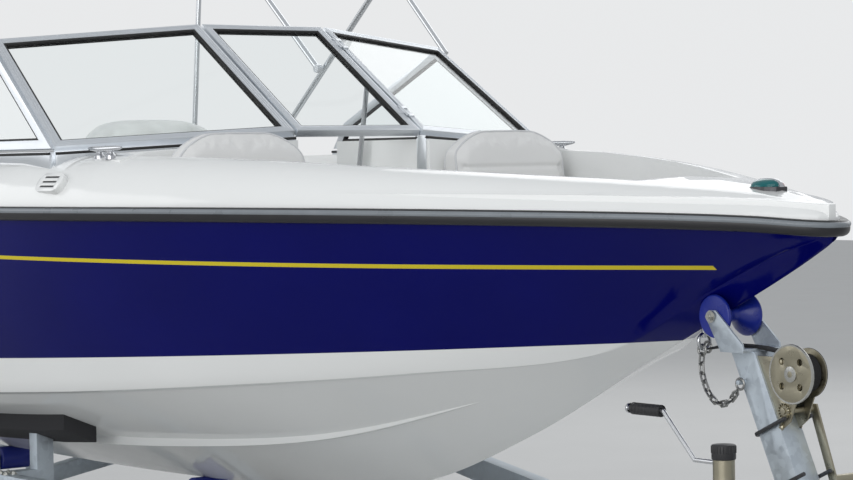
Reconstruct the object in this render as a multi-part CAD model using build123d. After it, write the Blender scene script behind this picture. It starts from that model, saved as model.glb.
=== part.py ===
from build123d import *
import math
import os

os.makedirs("parts", exist_ok=True)

# A bowrider speedboat with a sterndrive, standing on its trailer.
# Millimetres. +X points to the bow, +Y to port, +Z up. Z is 0 on the ground.
# A station is the distance aft of the stem head, so X = BOW_X - station.

# Overall stations
TRANSOM = 5200
DRIVE_END = 5960
COUPLER_NOSE = -950
BOW_X = (DRIVE_END + COUPLER_NOSE) / 2
SEAT_GAP = 0.3
MOVE_GAP = 6
PIN_GAP = 0.3

# Hull
BEAM = 2130
BOW_ROUND_LENGTH = 2900
BOW_FULLNESS = 2.2
NOSE_RADIUS = 60
STERN_TAPER = 30
SKIN = 22
POCKET_RISE = 20
TOPSIDE_BULGE = 12
CHINE_FLAT = 0.05
HULL_STATIONS = (
    # station, keel z, chine half-breadth, chine z, sheer z
    (TRANSOM, 560, 915, 862, 1488),
    (4200, 560, 925, 876, 1490),
    (3200, 563, 922, 908, 1490),
    (2400, 590, 858, 951, 1489),
    (1700, 663, 690, 1003, 1487),
    (1150, 855, 455, 1052, 1482),
    (700, 1073, 150, 1112, 1474),
    (380, 1224, 58, 1278, 1465),
    (150, 1334, 46, 1376, 1454),
    (30, 1398, 30, 1416, 1443),
    (4, 1415, 10, 1424, 1440),
)

LOFT_STATIONS = (TRANSOM, 4300, 3500, 2900, 2400, 2000, 1650, 1350, 1100, 880, 700, 540,
                 400, 280, 180, 100, 45, 14, 2)

# Rub rail
RAIL_PROUD = 24
RAIL_HEIGHT = 42

# Deck, above the sheer
DECK_LIP = 22
DECK_STATIONS = (
    # station, shoulder breadth, gunwale z, rise of the crown at the centre
    (TRANSOM, 150, 1630, 6),
    (4200, 150, 1645, 6),
    (3200, 155, 1652, 6),
    (2400, 160, 1658, 6),
    (1700, 160, 1643, 6),
    (1150, 150, 1609, 8),
    (700, 166, 1577, 8),
    (380, 160, 1551, 8),
    (150, 95, 1524, 6),
    (30, 38, 1490, 3),
    (4, 12, 1472, 2),
)

# Wells inside the boat: floor heights and plan
SOLE_Z = 905
BOW_SOLE_Z = 1085
BOW_BENCH_Z = 1290
STERN_BENCH_Z = 1190
LINER_WALL = 60
BOW_WELL_FRONT = 520
COAMING = 25
FOOTWELL_HALF = 220
PAD_MARGIN = 45
BACK_IN = 264
BACK_MARGIN = 12
CONSOLE_FRONT = 1955
CONSOLE_BACK = 2460
WALKWAY_HALF = 250
COCKPIT_BACK = 4330
STERN_BENCH_FRONT = 3880
COCKPIT_HALF = 830
CONSOLE_TOP = 1692
CONSOLE_WIDE = 780
CONSOLE_EDGE = 1662

# Engine bay, hatch lid and engine
BAY_FRONT = 4430
BAY_BACK = 5110
BAY_HALF = 380
BAY_FLOOR = 720
LID_FRONT = 4370
LID_BACK = 5140
LID_HALF = 610
LID_BOTTOM = 1588
LID_THICKNESS = 45
SUN_PAD = 70
ENGINE_SIZE = (560, 540, 600)

# Windshield
GLASS = 6
FRAME_BAR = 26
FRAME_DEPTH = 24
CENTRE_HALF = 232
CENTRE_BASE = (1987, 1712)
CENTRE_TOP = (2521, 2062)
CORNER_BASE = (2230, 930, 1676)
CORNER_TOP = (872, 2013)
SIDE_BASE_AFT = (3420, 925, 1676)
SIDE_TOP_AFT = (3330, 1768)
SILL_DROP = 8
SILL_WIDE = 34
SILL_HIGH = 110
WINDOW_GAP = 9
HINGE_PLACES = (0.17, 0.83)
HINGE_Y = 3
HINGE_OUT = FRAME_DEPTH / 2 + 3
KNUCKLE = 5
KNUCKLE_LONG = 30
HINGE_PIN = 2.5
HINGE_LEAF = 2.5
LEAF_WIDE = 20

# Lifting strakes: station, breadth of the outer edge, depth
STRAKES = (
    (960, 174, 5),
    (1300, 267, 17),
    (1700, 346, 27),
    (2300, 420, 34),
    (2950, 458, 37),
    (3800, 466, 38),
    (TRANSOM, 462, 38),
)
STRAKE_SINK = 3

# Fittings on the deck
CLEAT_S = 2060
STERN_CLEAT_S = 4700
CLEAT_IN = 137
CLEAT_LONG = 188
CLEAT_FEET = 64
CLEAT_BAR = 8
CLEAT_RISE = 12
HORN_S = 2164
HORN_IN = 32
HORN_LONG = 140
HORN_HIGH = 66
HORN_THICK = 6
HORN_SLOT = 84
HORN_SLOT_WIDE = 7
LIGHT_NOSE = 172
LIGHT_LONG = 106
LIGHT_HALF = 40
LIGHT_TOP = 1566

# Swim platform
PLATFORM_BACK = 5620
PLATFORM_HALF = 760
PLATFORM_TOP = 1272
PLATFORM_THICKNESS = 50
KNEE_Y = 520
KNEE_THICK = 40

# Sterndrive
BRACKET_FACE = 5225
BRACKET_HALF = 145
STEER_S = 5320
TILT_S = 5410
TILT_Z = 920
TILT_PIN = 12
CASE_HALF = 105
YOKE_INNER = 112
YOKE_OUTER = 140
TRIM_Y = 165
TRIM_FOOT = (5340, 800)
TRIM_EYE = (5620, 880)
TRIM_PIN = 8
TRIM_EYE_RADIUS = 23
TRIM_EYE_BORE = 15
BARREL_RADIUS = 20
BARREL_LENGTH = 190
TRIM_ROD_RADIUS = 9
PROP_Z = 340
PROP_RADIUS = 168
PROP_S = 5850
PLATE_Z = 528
SKEG_Z = 135

# Sun-top frame
TUBE_RADIUS = 11
TOP_FOOT = (3800, 1690)
TOP_APEX = (3050, 2305)
MAIN_LENGTH = 1600
REAR_HINGE = 450
REAR_TOP = (4300, 2704)
POLE_HINGE = 985
POLE_FOOT = (4290, 1690)
BRACE_FOOT = (2740, 2003)
MAIN_Y = 900
REAR_Y = 870
POLE_Y = 840
BRACE_Y = 930
EYE_RADIUS = 16
TOP_PIN = 5
EYE_WIDTH = 21
BOW_CORNER = 170
BOW_CROWN = 70
TOP_EAR = 6
EAR_OFF = 3
POLE_SEAT = 14

# Bow eye, and the rings that hook the strap and the chain to it
EYE_S = 462
EYE_Z = 1140
EYE_RING = 20
EYE_WIRE = 5
HOOK_RING = 14
HOOK_WIRE = 3.5
HOOK_Y = 8
HOOK_PLAY = 1.2

# Helm and seats
HELM_Y = -470
WHEEL_S = 2645
WHEEL_Z = 1450
WHEEL_RAKE = 28
WHEEL_RADIUS = 175
SEAT_S = 3120
SEAT_TOP = 1290

# Trailer
FRAME_TOP = 640
RAIL_HIGH = 80
UNDER = FRAME_TOP - RAIL_HIGH
RAIL_WIDE = 50
RAIL_Y = 760
RAIL_FRONT = 2500
RAIL_BACK = 5150
LEG_MEET = 780
CROSS_DROP = 110
CROSS_HIGH = 60
KEEL_ROLLER = 44
KEEL_ROLLER_LONG = 120
ROLLER_PIN = 8
TONGUE_WIDE = 80
TYRE_RADIUS = 295
TYRE_WIDTH = 165
TYRE_STEPS = 60
RIM_RADIUS = 178
AXLE_S = 3620
AXLE_SIZE = 50
SPINDLE_RADIUS = 20
TRACK_HALF = 893
SPRING_HALF = 310
SPRING_RISE = 87
POST_WIDE = 76
POST_FOOT = (55, FRAME_TOP)
POST_HEAD = (306, 1176)
WINCH_S = 112
WINCH_Z = 1076
WINCH_PLATE = 28
DRUM_FLANGE = 62
GEAR_RADIUS = 74
WINCH_SHAFT = (140, 982)
WINCH_PIN = 8
DRUM_RADIUS = 26
STRAP_WIDE = 38
STRAP_THICK = 5
STRAP_COIL = 48
CHAIN_STUD = (276, 1047)
STUD_RADIUS = 6
CHAIN_WIRE = 3
CHAIN_BEND = 7
CHAIN_LINKS = 11
LINK_SIDES = 6
RING_SIDES = 8
RING_STEPS = 16
COUPLER_LONG = 250
SOCKET_DEPTH = 51
BALL_RADIUS = 25
ROLLER_S = 362
ROLLER_Z = 1212
POST_CUT = ROLLER_Z - 87
ROLLER_RADIUS = 57
ROLLER_WAIST = 16
ROLLER_LENGTH = 123
BOW_ROLLER_PIN = 6
JACK_S = 240
JACK_Y = -150
JACK_TOP = 900
JACK_TUBE = 28
JACK_TUBE_LOW = 340
JACK_LEG = 22
JACK_LEG_TOP = 620
JACK_CRANK = 6
BUNK_Y = 600
BUNK_WIDE = 120
BUNK_THICK = 62
BUNK_FRONT = 2700
BUNK_BACK = 5060


def sheer_half(s):
    """Half-breadth of the boat at the rub rail's height: a pointed bow with a rounded nose."""
    s = max(s, 0)
    ahead = max(0.0, 1 - s / BOW_ROUND_LENGTH)
    aft = max(0.0, (s - BOW_ROUND_LENGTH) / (TRANSOM - BOW_ROUND_LENGTH))
    point = BEAM / 2 * (1 - ahead ** BOW_FULLNESS)
    nose = 2 * NOSE_RADIUS * s * math.exp(-s / (2 * NOSE_RADIUS))
    return math.sqrt(point ** 2 + nose) - STERN_TAPER * aft ** 2


def smooth(rows, column, s):
    """A column of a station table, read between its rows along a smooth curve."""
    table = sorted((row[0], row[column]) for row in rows)
    slopes = []
    for i in range(len(table)):
        (s0, v0), (s1, v1) = table[max(i - 1, 0)], table[min(i + 1, len(table) - 1)]
        slopes.append((v1 - v0) / (s1 - s0))
    s = min(max(s, table[0][0]), table[-1][0])
    i = max(k for k in range(len(table) - 1) if table[k][0] <= s)
    (s0, v0), (s1, v1) = table[i], table[i + 1]
    gap = s1 - s0
    t = (s - s0) / gap
    return ((2 * t ** 3 - 3 * t ** 2 + 1) * v0 + (t ** 3 - 2 * t ** 2 + t) * gap * slopes[i]
            + (3 * t ** 2 - 2 * t ** 3) * v1 + (t ** 3 - t ** 2) * gap * slopes[i + 1])


def at(s, y, z):
    return Vector(BOW_X - s, y, z)


def block(s0, s1, y0, y1, z0, z1):
    """A box between two stations, two breadths and two heights."""
    size = Box(s1 - s0, y1 - y0, z1 - z0)
    return Pos(BOW_X - (s0 + s1) / 2, (y0 + y1) / 2, (z0 + z1) / 2) * size


def rod(start, end, radius):
    """A round bar between two points."""
    along = end - start
    return Solid.make_cylinder(radius, along.length, Plane(origin=start, z_dir=along))


def tube(start, end, radius, bore):
    return rod(start, end, radius) - rod(start, end, bore)


def side_plate(points, y0, y1):
    """A plate whose outline is given as (station, z), between two breadths."""
    outline = Polyline(*[at(s, y0, z) for s, z in points], close=True)
    return extrude(make_face(outline), y1 - y0, dir=(0, 1, 0))


def plan_plate(points, z0, z1):
    """A plate whose outline is given as (station, y), between two heights."""
    outline = Polyline(*[at(s, y, z0) for s, y in points], close=True)
    return extrude(make_face(outline), z1 - z0, dir=(0, 0, 1))


def cross_plate(points, s0, s1):
    """A plate whose outline is given as (y, z), between two stations."""
    outline = Polyline(*[at(s1, y, z) for y, z in points], close=True)
    return extrude(make_face(outline), s1 - s0, dir=(1, 0, 0))


def facet_ring(rows):
    """A closed ring of flat faces through rows of points, one row for each section round it."""
    faces = []
    for here, ahead in zip(rows, rows[1:] + rows[:1]):
        for j in range(len(here)):
            k = (j + 1) % len(here)
            faces.append(Face(Wire.make_polygon([here[j], here[k], ahead[k], ahead[j]])))
    return Solid(Shell(faces))


def turned_rows(profile, steps):
    """A profile of (radius, height) points, turned round Z in steps."""
    angles = [2 * math.pi * k / steps for k in range(steps)]
    return [[Vector(r * math.cos(a), r * math.sin(a), z) for r, z in profile] for a in angles]


def mitred_rows(corners, section):
    """A section of (outward, up) points, carried round a flat outline with mitred corners."""
    rows = []
    for i, (x, y) in enumerate(corners):
        (x0, y0), (x1, y1) = corners[i - 1], corners[(i + 1) % len(corners)]
        before = Vector(x - x0, y - y0, 0).normalized()
        after = Vector(x1 - x, y1 - y, 0).normalized()
        mitre = Vector(before.Y + after.Y, -before.X - after.X, 0) * (1 / (1 + before.dot(after)))
        rows.append([Vector(x, y, up) + mitre * out for out, up in section])
    return rows


def round_section(radius, sides, centre=0.0):
    """A round wire's section as a polygon of (outward, up) points."""
    angles = [2 * math.pi * (k + 0.5) / sides for k in range(sides)]
    return [(centre + radius * math.cos(a), radius * math.sin(a)) for a in angles]


def wire_ring(radius, wire):
    """A ring of round wire, faceted."""
    return facet_ring(turned_rows(round_section(wire, RING_SIDES, radius), RING_STEPS))


def mirrored(shape):
    return mirror(shape, about=Plane.XZ)


def both_sides(shape):
    return Compound([shape, mirrored(shape)])


def save(name, shape):
    export_step(shape, os.path.join("parts", name + ".step"))


# Hull, deck and rub rail

def sheer_z_at(s):
    return smooth(HULL_STATIONS, 4, s)


def hull_section(s, inset):
    """One section of the hull, or of a hollow that lies inset inside it."""
    keel_z, chine_y, chine_z, sheer_z = (smooth(HULL_STATIONS, k, s) for k in (1, 2, 3, 4))
    sheer_y = sheer_half(s)
    keep = max(6.0, chine_y - inset)
    flat = CHINE_FLAT * keep
    top_y = max(12.0, sheer_y - inset)
    keel = at(s, 0, keel_z + 1.2 * inset)
    inner = at(s, keep - flat, chine_z + 0.9 * inset - 0.15 * flat)
    chine = at(s, keep, chine_z + 0.9 * inset)
    middle = at(s, (keep + top_y) / 2 + TOPSIDE_BULGE * min(1, keep / 200),
                (chine_z + 0.9 * inset + sheer_z) / 2)
    sheer = at(s, top_y, sheer_z)
    return keel, inner, chine, middle, sheer


def flip(point):
    return Vector(point.X, -point.Y, point.Z)


def hull_wire(s, inset, lift):
    keel, inner, chine, middle, sheer = hull_section(s, inset)
    half = [Line(keel, inner), Line(inner, chine), ThreePointArc(chine, middle, sheer)]
    other = [Line(flip(keel), flip(inner)), Line(flip(inner), flip(chine)),
             ThreePointArc(flip(chine), flip(middle), flip(sheer))]
    if lift:
        top = sheer + Vector(0, 0, lift)
        half.append(Line(sheer, top))
        other.append(Line(flip(sheer), flip(top)))
        sheer = top
    return Wire(half + [Line(sheer, flip(sheer))] + other[::-1])


def hull_loft(inset=0.0, lift=0.0):
    return Solid.make_loft([hull_wire(s, inset, lift) for s in LOFT_STATIONS], True)


def deck_wire(s):
    shoulder, gunwale_z, crown = (smooth(DECK_STATIONS, k, s) for k in (1, 2, 3))
    sheer_z = sheer_z_at(s) + SEAT_GAP
    sheer_y = sheer_half(s)
    edge = at(s, sheer_y, sheer_z)
    lip = at(s, sheer_y, sheer_z + DECK_LIP)
    top = at(s, sheer_y - shoulder, gunwale_z)
    rise = gunwale_z - sheer_z - DECK_LIP
    middle = at(s, sheer_y - 0.36 * shoulder, sheer_z + DECK_LIP + 0.66 * rise)
    centre = at(s, 0, gunwale_z + crown)
    half = [Line(edge, lip), ThreePointArc(lip, middle, top), Line(top, centre)]
    other = [Line(flip(edge), flip(lip)), ThreePointArc(flip(lip), flip(middle), flip(top)),
             Line(flip(top), centre)]
    return Wire(half + other[::-1] + [Line(flip(edge), edge)])


def rail_wire(s, out, over):
    """A level slab's section, stood off the sheer along its outward direction."""
    slope = (sheer_half(s + 1) - sheer_half(s - 1)) / (s + 1 - max(s - 1, 0))
    ahead = out * slope / math.hypot(slope, 1)
    half = sheer_half(s) + out / math.hypot(slope, 1)
    low = sheer_z_at(s) - RAIL_HEIGHT / 2 - over
    high = low + RAIL_HEIGHT + 2 * over
    points = [at(s - ahead, half, low), at(s - ahead, half, high), at(s - ahead, -half, high), at(s - ahead, -half, low)]
    return Wire([Line(a, b) for a, b in zip(points, points[1:] + points[:1])])


def crest(s):
    """Half-breadth of the gunwale's crest, where the deck's rounded shoulder ends."""
    return sheer_half(s) - smooth(DECK_STATIONS, 1, s)


hull_outer = hull_loft()
lowered_hull = Pos(0, 0, -SEAT_GAP) * hull_outer
deck_outer = Solid.make_loft([deck_wire(s) for s in LOFT_STATIONS], True)

# The wells, seen in plan as (station, half-breadth)
bow_plan = [(s, crest(s) - COAMING) for s in (BOW_WELL_FRONT, 700, 900, 1150, 1400, 1700, CONSOLE_FRONT)]


def well(points, z0, z1=2200):
    """A well mirrored about the centre line, from its half plan."""
    half = list(points)
    return plan_plate(half + [(s, -y) for s, y in half[::-1]], z0, z1)


bow_well = well(bow_plan, BOW_BENCH_Z)
bow_footwell = well(((830, 90), (1150, FOOTWELL_HALF), (CONSOLE_FRONT, FOOTWELL_HALF)), BOW_SOLE_Z)
walkway = block(CONSOLE_FRONT - 1, CONSOLE_BACK + 1, -WALKWAY_HALF, WALKWAY_HALF, BOW_SOLE_Z, 2200)
cockpit = block(CONSOLE_BACK, STERN_BENCH_FRONT, -COCKPIT_HALF, COCKPIT_HALF, SOLE_Z, 2200)
stern_well = block(STERN_BENCH_FRONT - 1, COCKPIT_BACK, -COCKPIT_HALF, COCKPIT_HALF, STERN_BENCH_Z, 2200)
knee_wells = both_sides(block(CONSOLE_FRONT + 90, CONSOLE_BACK + 1, WALKWAY_HALF + 40, 740, SOLE_Z, 1380))
inner_loft = hull_loft(SKIN + LINER_WALL, 700)
wells = bow_well + bow_footwell + walkway + cockpit + stern_well + knee_wells
wells = wells & inner_loft
bay = block(BAY_FRONT, BAY_BACK, -BAY_HALF, BAY_HALF, BAY_FLOOR, 2200)
lid_seat = block(LID_FRONT, LID_BACK + 200, -LID_HALF - MOVE_GAP, LID_HALF + MOVE_GAP,
                 LID_BOTTOM - SEAT_GAP, 2200)

def bottom_z(s, y):
    """Height of the hull's bottom panel at a breadth inside the chine."""
    keel, inner = hull_section(s, 0)[:2]
    return keel.Z + (inner.Z - keel.Z) * y / inner.Y


def strake_wire(s):
    """A strake's section: a level underside and an upright outer face, sunk a little into the hull."""
    edge_y, depth = smooth(STRAKES, 1, s), smooth(STRAKES, 2, s)
    slope = (bottom_z(s, edge_y) - bottom_z(s, 0)) / edge_y
    low = bottom_z(s, edge_y) - depth
    root_y = edge_y - depth / slope
    corners = (at(s, root_y - STRAKE_SINK / slope, low), at(s, edge_y, low),
               at(s, edge_y, low + depth + STRAKE_SINK), at(s, root_y, low + STRAKE_SINK))
    return Wire([Line(a, b) for a, b in zip(corners, corners[1:] + corners[:1])])


strake_stations = [s for s in LOFT_STATIONS if s > STRAKES[0][0]] + [STRAKES[0][0]]
strake = Solid.make_loft([strake_wire(s) for s in strake_stations], True)
hull_pocket = hull_loft(SKIN, POCKET_RISE) & block(-100, TRANSOM - 60, -1200, 1200, SOLE_Z, 2200)
hull_shell = hull_outer + strake + mirrored(strake) - hull_pocket - bay

liner = hull_loft(SKIN + SEAT_GAP, 60) & block(-100, TRANSOM - 60 - SEAT_GAP, -1200, 1200, SOLE_Z, 2200)
console_profile = ((WALKWAY_HALF, 1600), (WALKWAY_HALF, CONSOLE_TOP), (CONSOLE_WIDE, CONSOLE_EDGE),
                   (870, 1640), (870, 1600))
consoles = both_sides(cross_plate(console_profile, CONSOLE_FRONT, CONSOLE_BACK))
deck = deck_outer + liner + consoles - wells - bay - lid_seat

rail_outer = Solid.make_loft([rail_wire(s, RAIL_PROUD, 0) for s in LOFT_STATIONS], True)
rail_inner = Solid.make_loft([rail_wire(s, SEAT_GAP, 5) for s in LOFT_STATIONS], True)
rub_rail = rail_outer - rail_inner

save("rub_rail", rub_rail)
save("hull_shell", hull_shell)
save("deck_and_liner", deck)

# Windshield: plane panes in bar frames, the middle one hinged

def panel(corners, bar, depth, glass_lap=4.0):
    """A bar frame round a plane pane and its glass; the first two corners are the foot."""
    origin, foot, head, back = corners
    across = (foot - origin).normalized()
    normal = across.cross(back - origin).normalized()
    plane = Plane(origin=origin, x_dir=across, z_dir=normal)
    flat = [plane.to_local_coords(c) for c in corners]
    outline = make_face(Polyline(*[(c.X, c.Y) for c in flat], close=True))
    hole = offset(outline, -bar, kind=Kind.INTERSECTION)
    pane = offset(outline, -bar + glass_lap, kind=Kind.INTERSECTION)
    pane_room = extrude(offset(outline, -bar + glass_lap + SEAT_GAP, kind=Kind.INTERSECTION),
                        GLASS / 2 + SEAT_GAP, both=True)
    ring = extrude(outline, depth / 2, both=True) - extrude(hole, depth, both=True) - pane_room
    return plane * ring, plane * extrude(pane, GLASS / 2, both=True)


def top_corner():
    """The corner post's head, in the plane of the front pane."""
    a = at(CENTRE_BASE[0], CENTRE_HALF + WINDOW_GAP, CENTRE_BASE[1])
    b = at(*CORNER_BASE)
    c = at(CENTRE_TOP[0], CENTRE_HALF + WINDOW_GAP, CENTRE_TOP[1])
    normal = (b - a).cross(c - a)
    y, z = CORNER_TOP
    x = a.X - (normal.Y * (y - a.Y) + normal.Z * (z - a.Z)) / normal.X
    return a, b, Vector(x, y, z), c


base_in, base_out, head_out, head_in = top_corner()
front_frame, front_glass = panel((base_in, base_out, head_out, head_in), FRAME_BAR, FRAME_DEPTH)
side_corners = (base_out, at(*SIDE_BASE_AFT), at(SIDE_TOP_AFT[0], 0, SIDE_TOP_AFT[1]), head_out)
side_normal = (side_corners[1] - base_out).cross(head_out - base_out)
side_head = side_corners[2]
side_y = base_out.Y - (side_normal.X * (side_head.X - base_out.X)
                       + side_normal.Z * (side_head.Z - base_out.Z)) / side_normal.Y
side_corners = (base_out, side_corners[1], Vector(side_head.X, side_y, side_head.Z), head_out)
side_frame, side_glass = panel(side_corners, FRAME_BAR, FRAME_DEPTH)
side_frame = side_frame - front_frame
window_base, window_head = CENTRE_BASE, CENTRE_TOP
window_corners = (at(window_base[0], -CENTRE_HALF, window_base[1]), at(window_base[0], CENTRE_HALF, window_base[1]),
                  at(window_head[0], CENTRE_HALF, window_head[1]), at(window_head[0], -CENTRE_HALF, window_head[1]))
window_frame, window_glass = panel(window_corners, FRAME_BAR, FRAME_DEPTH)


def sill(points, width, drop):
    """A low wall under the windshield's foot rail, cut to the deck below."""
    walls = []
    for a, b in zip(points, points[1:]):
        along = (b - a).normalized()
        side = Vector(-along.Y, along.X, 0).normalized() * (width / 2)
        down = Vector(0, 0, drop)
        ends = [a - side, a + side, a + side - down, a - side - down]
        far = [p + (b - a) for p in ends]
        near_wire = Wire([Line(p, q) for p, q in zip(ends, ends[1:] + ends[:1])])
        far_wire = Wire([Line(p, q) for p, q in zip(far, far[1:] + far[:1])])
        walls.append(Solid.make_loft([near_wire, far_wire], True))
    return walls


sill_drop = Vector(0, 0, SILL_DROP)
sill_points = [base_in - sill_drop, base_out - sill_drop, side_corners[1] - sill_drop]
windshield = front_frame + side_frame
for wall in sill(sill_points, SILL_WIDE, SILL_HIGH):
    windshield = windshield + (wall - deck - front_glass - side_glass)
windshield = max(windshield.solids(), key=lambda piece: piece.volume)

# Hinges of the middle window, on the port post: pins on the frame, knuckles on the window
hinge_lay = Plane(origin=window_corners[1], x_dir=(0, 1, 0),
                  z_dir=Vector(0, 1, 0).cross(window_corners[2] - window_corners[1]))
window_run = (window_corners[2] - window_corners[1]).length


def hinge_rod(low, high, radius):
    """A round piece on the hinge's axis, between two distances up the pane."""
    return hinge_lay * (Pos(HINGE_Y, (low + high) / 2, HINGE_OUT) * Rot(90, 0, 0) * Cylinder(radius, high - low))


def hinge_leaf(y0, y1, low, high, out0, out1):
    size = Box(y1 - y0, high - low, out1 - out0)
    return hinge_lay * (Pos((y0 + y1) / 2, (low + high) / 2, (out0 + out1) / 2) * size)


hinged_side = windshield
for share in HINGE_PLACES:
    low = share * window_run - KNUCKLE_LONG / 2
    high = low + KNUCKLE_LONG
    window_frame = window_frame - hinge_rod(low - KNUCKLE_LONG / 2 - 1, high + KNUCKLE_LONG / 2 + 1, KNUCKLE + 1)
    leaf = hinge_leaf(-LEAF_WIDE, HINGE_Y, low, high, FRAME_DEPTH / 2 - 1, FRAME_DEPTH / 2 + HINGE_LEAF)
    window_frame = window_frame + leaf + hinge_rod(low, high, KNUCKLE) - hinge_rod(low - 1, high + 1, HINGE_PIN + PIN_GAP)
    for near, far in ((low - KNUCKLE_LONG / 2, low - SEAT_GAP), (high + SEAT_GAP, high + KNUCKLE_LONG / 2)):
        leaf = hinge_leaf(2 * HINGE_Y, WINDOW_GAP + LEAF_WIDE, near, far, FRAME_DEPTH / 4, FRAME_DEPTH / 2 + HINGE_LEAF)
        hinged_side = hinged_side + leaf + hinge_rod(near, far, KNUCKLE)
    hinged_side = hinged_side + hinge_rod(low - 1, high + 1, HINGE_PIN)
save("windshield_frame", Compound([hinged_side, mirrored(windshield)]))
save("windshield_glass", Compound([front_glass, mirrored(front_glass), side_glass, mirrored(side_glass)]))
save("walkthrough_window", window_frame)
save("walkthrough_glass", window_glass)

# Pieces of the cockpit

def pad(shape, radius=25):
    """A soft pad: its block with the long edges rounded."""
    return fillet(shape.edges(), radius)


pad_outer = [(s, crest(s) - COAMING - PAD_MARGIN) for s in (BOW_WELL_FRONT + 150, 900, 1150, 1400, CONSOLE_FRONT - 150)]
bow_pad_plan = pad_outer + [(CONSOLE_FRONT - 150, FOOTWELL_HALF + 15), (1150, FOOTWELL_HALF + 15), (850, 60),
                            (BOW_WELL_FRONT + 150, 60)]
bow_room = hull_loft(SKIN + LINER_WALL + 12, 700)
bow_pad = plan_plate(bow_pad_plan, BOW_BENCH_Z + SEAT_GAP, BOW_BENCH_Z + 90) & bow_room
back_profile = ((1815, 1385), (1870, 1722), (1930, 1722), (CONSOLE_FRONT - SEAT_GAP, 1385))
back_out = crest(CONSOLE_FRONT - 140) - COAMING - BACK_MARGIN
bow_back = side_plate(back_profile, BACK_IN, back_out) & bow_room
save("bow_seats", Compound([bow_pad, mirrored(bow_pad), bow_back, mirrored(bow_back)]))

hood_profile = ((HELM_Y - 210, 1600), (HELM_Y - 210, 1690), (HELM_Y - 130, 1745), (HELM_Y, 1765),
                (HELM_Y + 130, 1745), (HELM_Y + 200, 1690), (HELM_Y + 200, 1600))
hood = cross_plate(hood_profile, 2330, CONSOLE_BACK + 60)
dash_face = block(CONSOLE_BACK + SEAT_GAP, CONSOLE_BACK + 60, HELM_Y - 200, HELM_Y + 200, 1390, 1640)
hood = hood - deck - block(CONSOLE_BACK - 400, CONSOLE_BACK + SEAT_GAP, -900, 0, 1500, 1600) + dash_face
# Steering wheel on a raked column
rake = math.radians(WHEEL_RAKE)
wheel_axis = Vector(-math.cos(rake), 0, math.sin(rake))
wheel_centre = at(WHEEL_S, HELM_Y, WHEEL_Z)
wheel_plane = Plane(origin=wheel_centre, x_dir=(0, 1, 0), z_dir=wheel_axis)
column_start = wheel_centre - wheel_axis * 170
save("helm_dash", hood + rod(column_start, wheel_centre - wheel_axis * 12, 24))
rim = Solid.make_torus(WHEEL_RADIUS, 14, wheel_plane)
hub = rod(wheel_centre - wheel_axis * (12 - SEAT_GAP), wheel_centre + wheel_axis * 18, 32)
spokes = [wheel_plane * (Rot(0, 0, 90 + 120 * k) * Pos((WHEEL_RADIUS + 20) / 2, 0, 3) * Box(WHEEL_RADIUS - 20, 26, 8))
          for k in range(3)]
save("steering_wheel", rim + hub + spokes)

seat_bases, seat_pads = [], []
for side in (1, -1):
    y = side * abs(HELM_Y)
    seat_bases.append(block(SEAT_S + 60, SEAT_S + 380, y - 130, y + 130, SOLE_Z, SEAT_TOP - 120))
    seat = pad(block(SEAT_S, SEAT_S + 430, y - 230, y + 230, SEAT_TOP - 120 + SEAT_GAP, SEAT_TOP), 30)
    back = side_plate(((SEAT_S + 390, SEAT_TOP - 20), (SEAT_S + 450, SEAT_TOP + 330),
                       (SEAT_S + 520, SEAT_TOP + 330), (SEAT_S + 500, SEAT_TOP - 110),
                       (SEAT_S + 440, SEAT_TOP - 110)), y - 225, y + 225)
    seat_pads.append(seat + back)
save("seat_boxes", Compound(seat_bases))
save("helm_seats", Compound(seat_pads))

stern_seat = block(STERN_BENCH_FRONT - 15, COCKPIT_BACK - 95, -760, 760, STERN_BENCH_Z + SEAT_GAP, STERN_BENCH_Z + 110)
stern_back = side_plate(((4240, STERN_BENCH_Z + 112), (4290, 1640), (COCKPIT_BACK - SEAT_GAP, 1640), (COCKPIT_BACK - SEAT_GAP, STERN_BENCH_Z + 112)),
                        -760, 760)
save("stern_seat", Compound([pad(stern_seat), stern_back]))

lid = block(LID_FRONT + MOVE_GAP, LID_BACK, -LID_HALF, LID_HALF, LID_BOTTOM, LID_BOTTOM + LID_THICKNESS)
save("engine_hatch", fillet(lid.edges().filter_by(Axis.Z), 40))
sun_pad = block(LID_FRONT + 30, LID_BACK - 60, -LID_HALF + 30, LID_HALF - 30,
                LID_BOTTOM + LID_THICKNESS + SEAT_GAP, LID_BOTTOM + LID_THICKNESS + SUN_PAD)
save("sun_pad", pad(sun_pad, 30))

engine_long, engine_wide, engine_high = ENGINE_SIZE
engine_front = BAY_FRONT + 60
save("engine", block(engine_front, engine_front + engine_long, -engine_wide / 2, engine_wide / 2,
                     BAY_FLOOR, BAY_FLOOR + engine_high))

platform_plan = ((TRANSOM, -PLATFORM_HALF), (PLATFORM_BACK - 120, -PLATFORM_HALF), (PLATFORM_BACK, -PLATFORM_HALF + 140),
                 (PLATFORM_BACK, PLATFORM_HALF - 140), (PLATFORM_BACK - 120, PLATFORM_HALF), (TRANSOM, PLATFORM_HALF))
platform = plan_plate(platform_plan, PLATFORM_TOP - PLATFORM_THICKNESS, PLATFORM_TOP)
platform_low = PLATFORM_TOP - PLATFORM_THICKNESS
knee = side_plate(((TRANSOM, platform_low), (PLATFORM_BACK - 100, platform_low), (TRANSOM, platform_low - 142)),
                  KNEE_Y - KNEE_THICK / 2, KNEE_Y + KNEE_THICK / 2)
platform = platform + knee + mirrored(knee)
save("swim_platform", platform)

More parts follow.
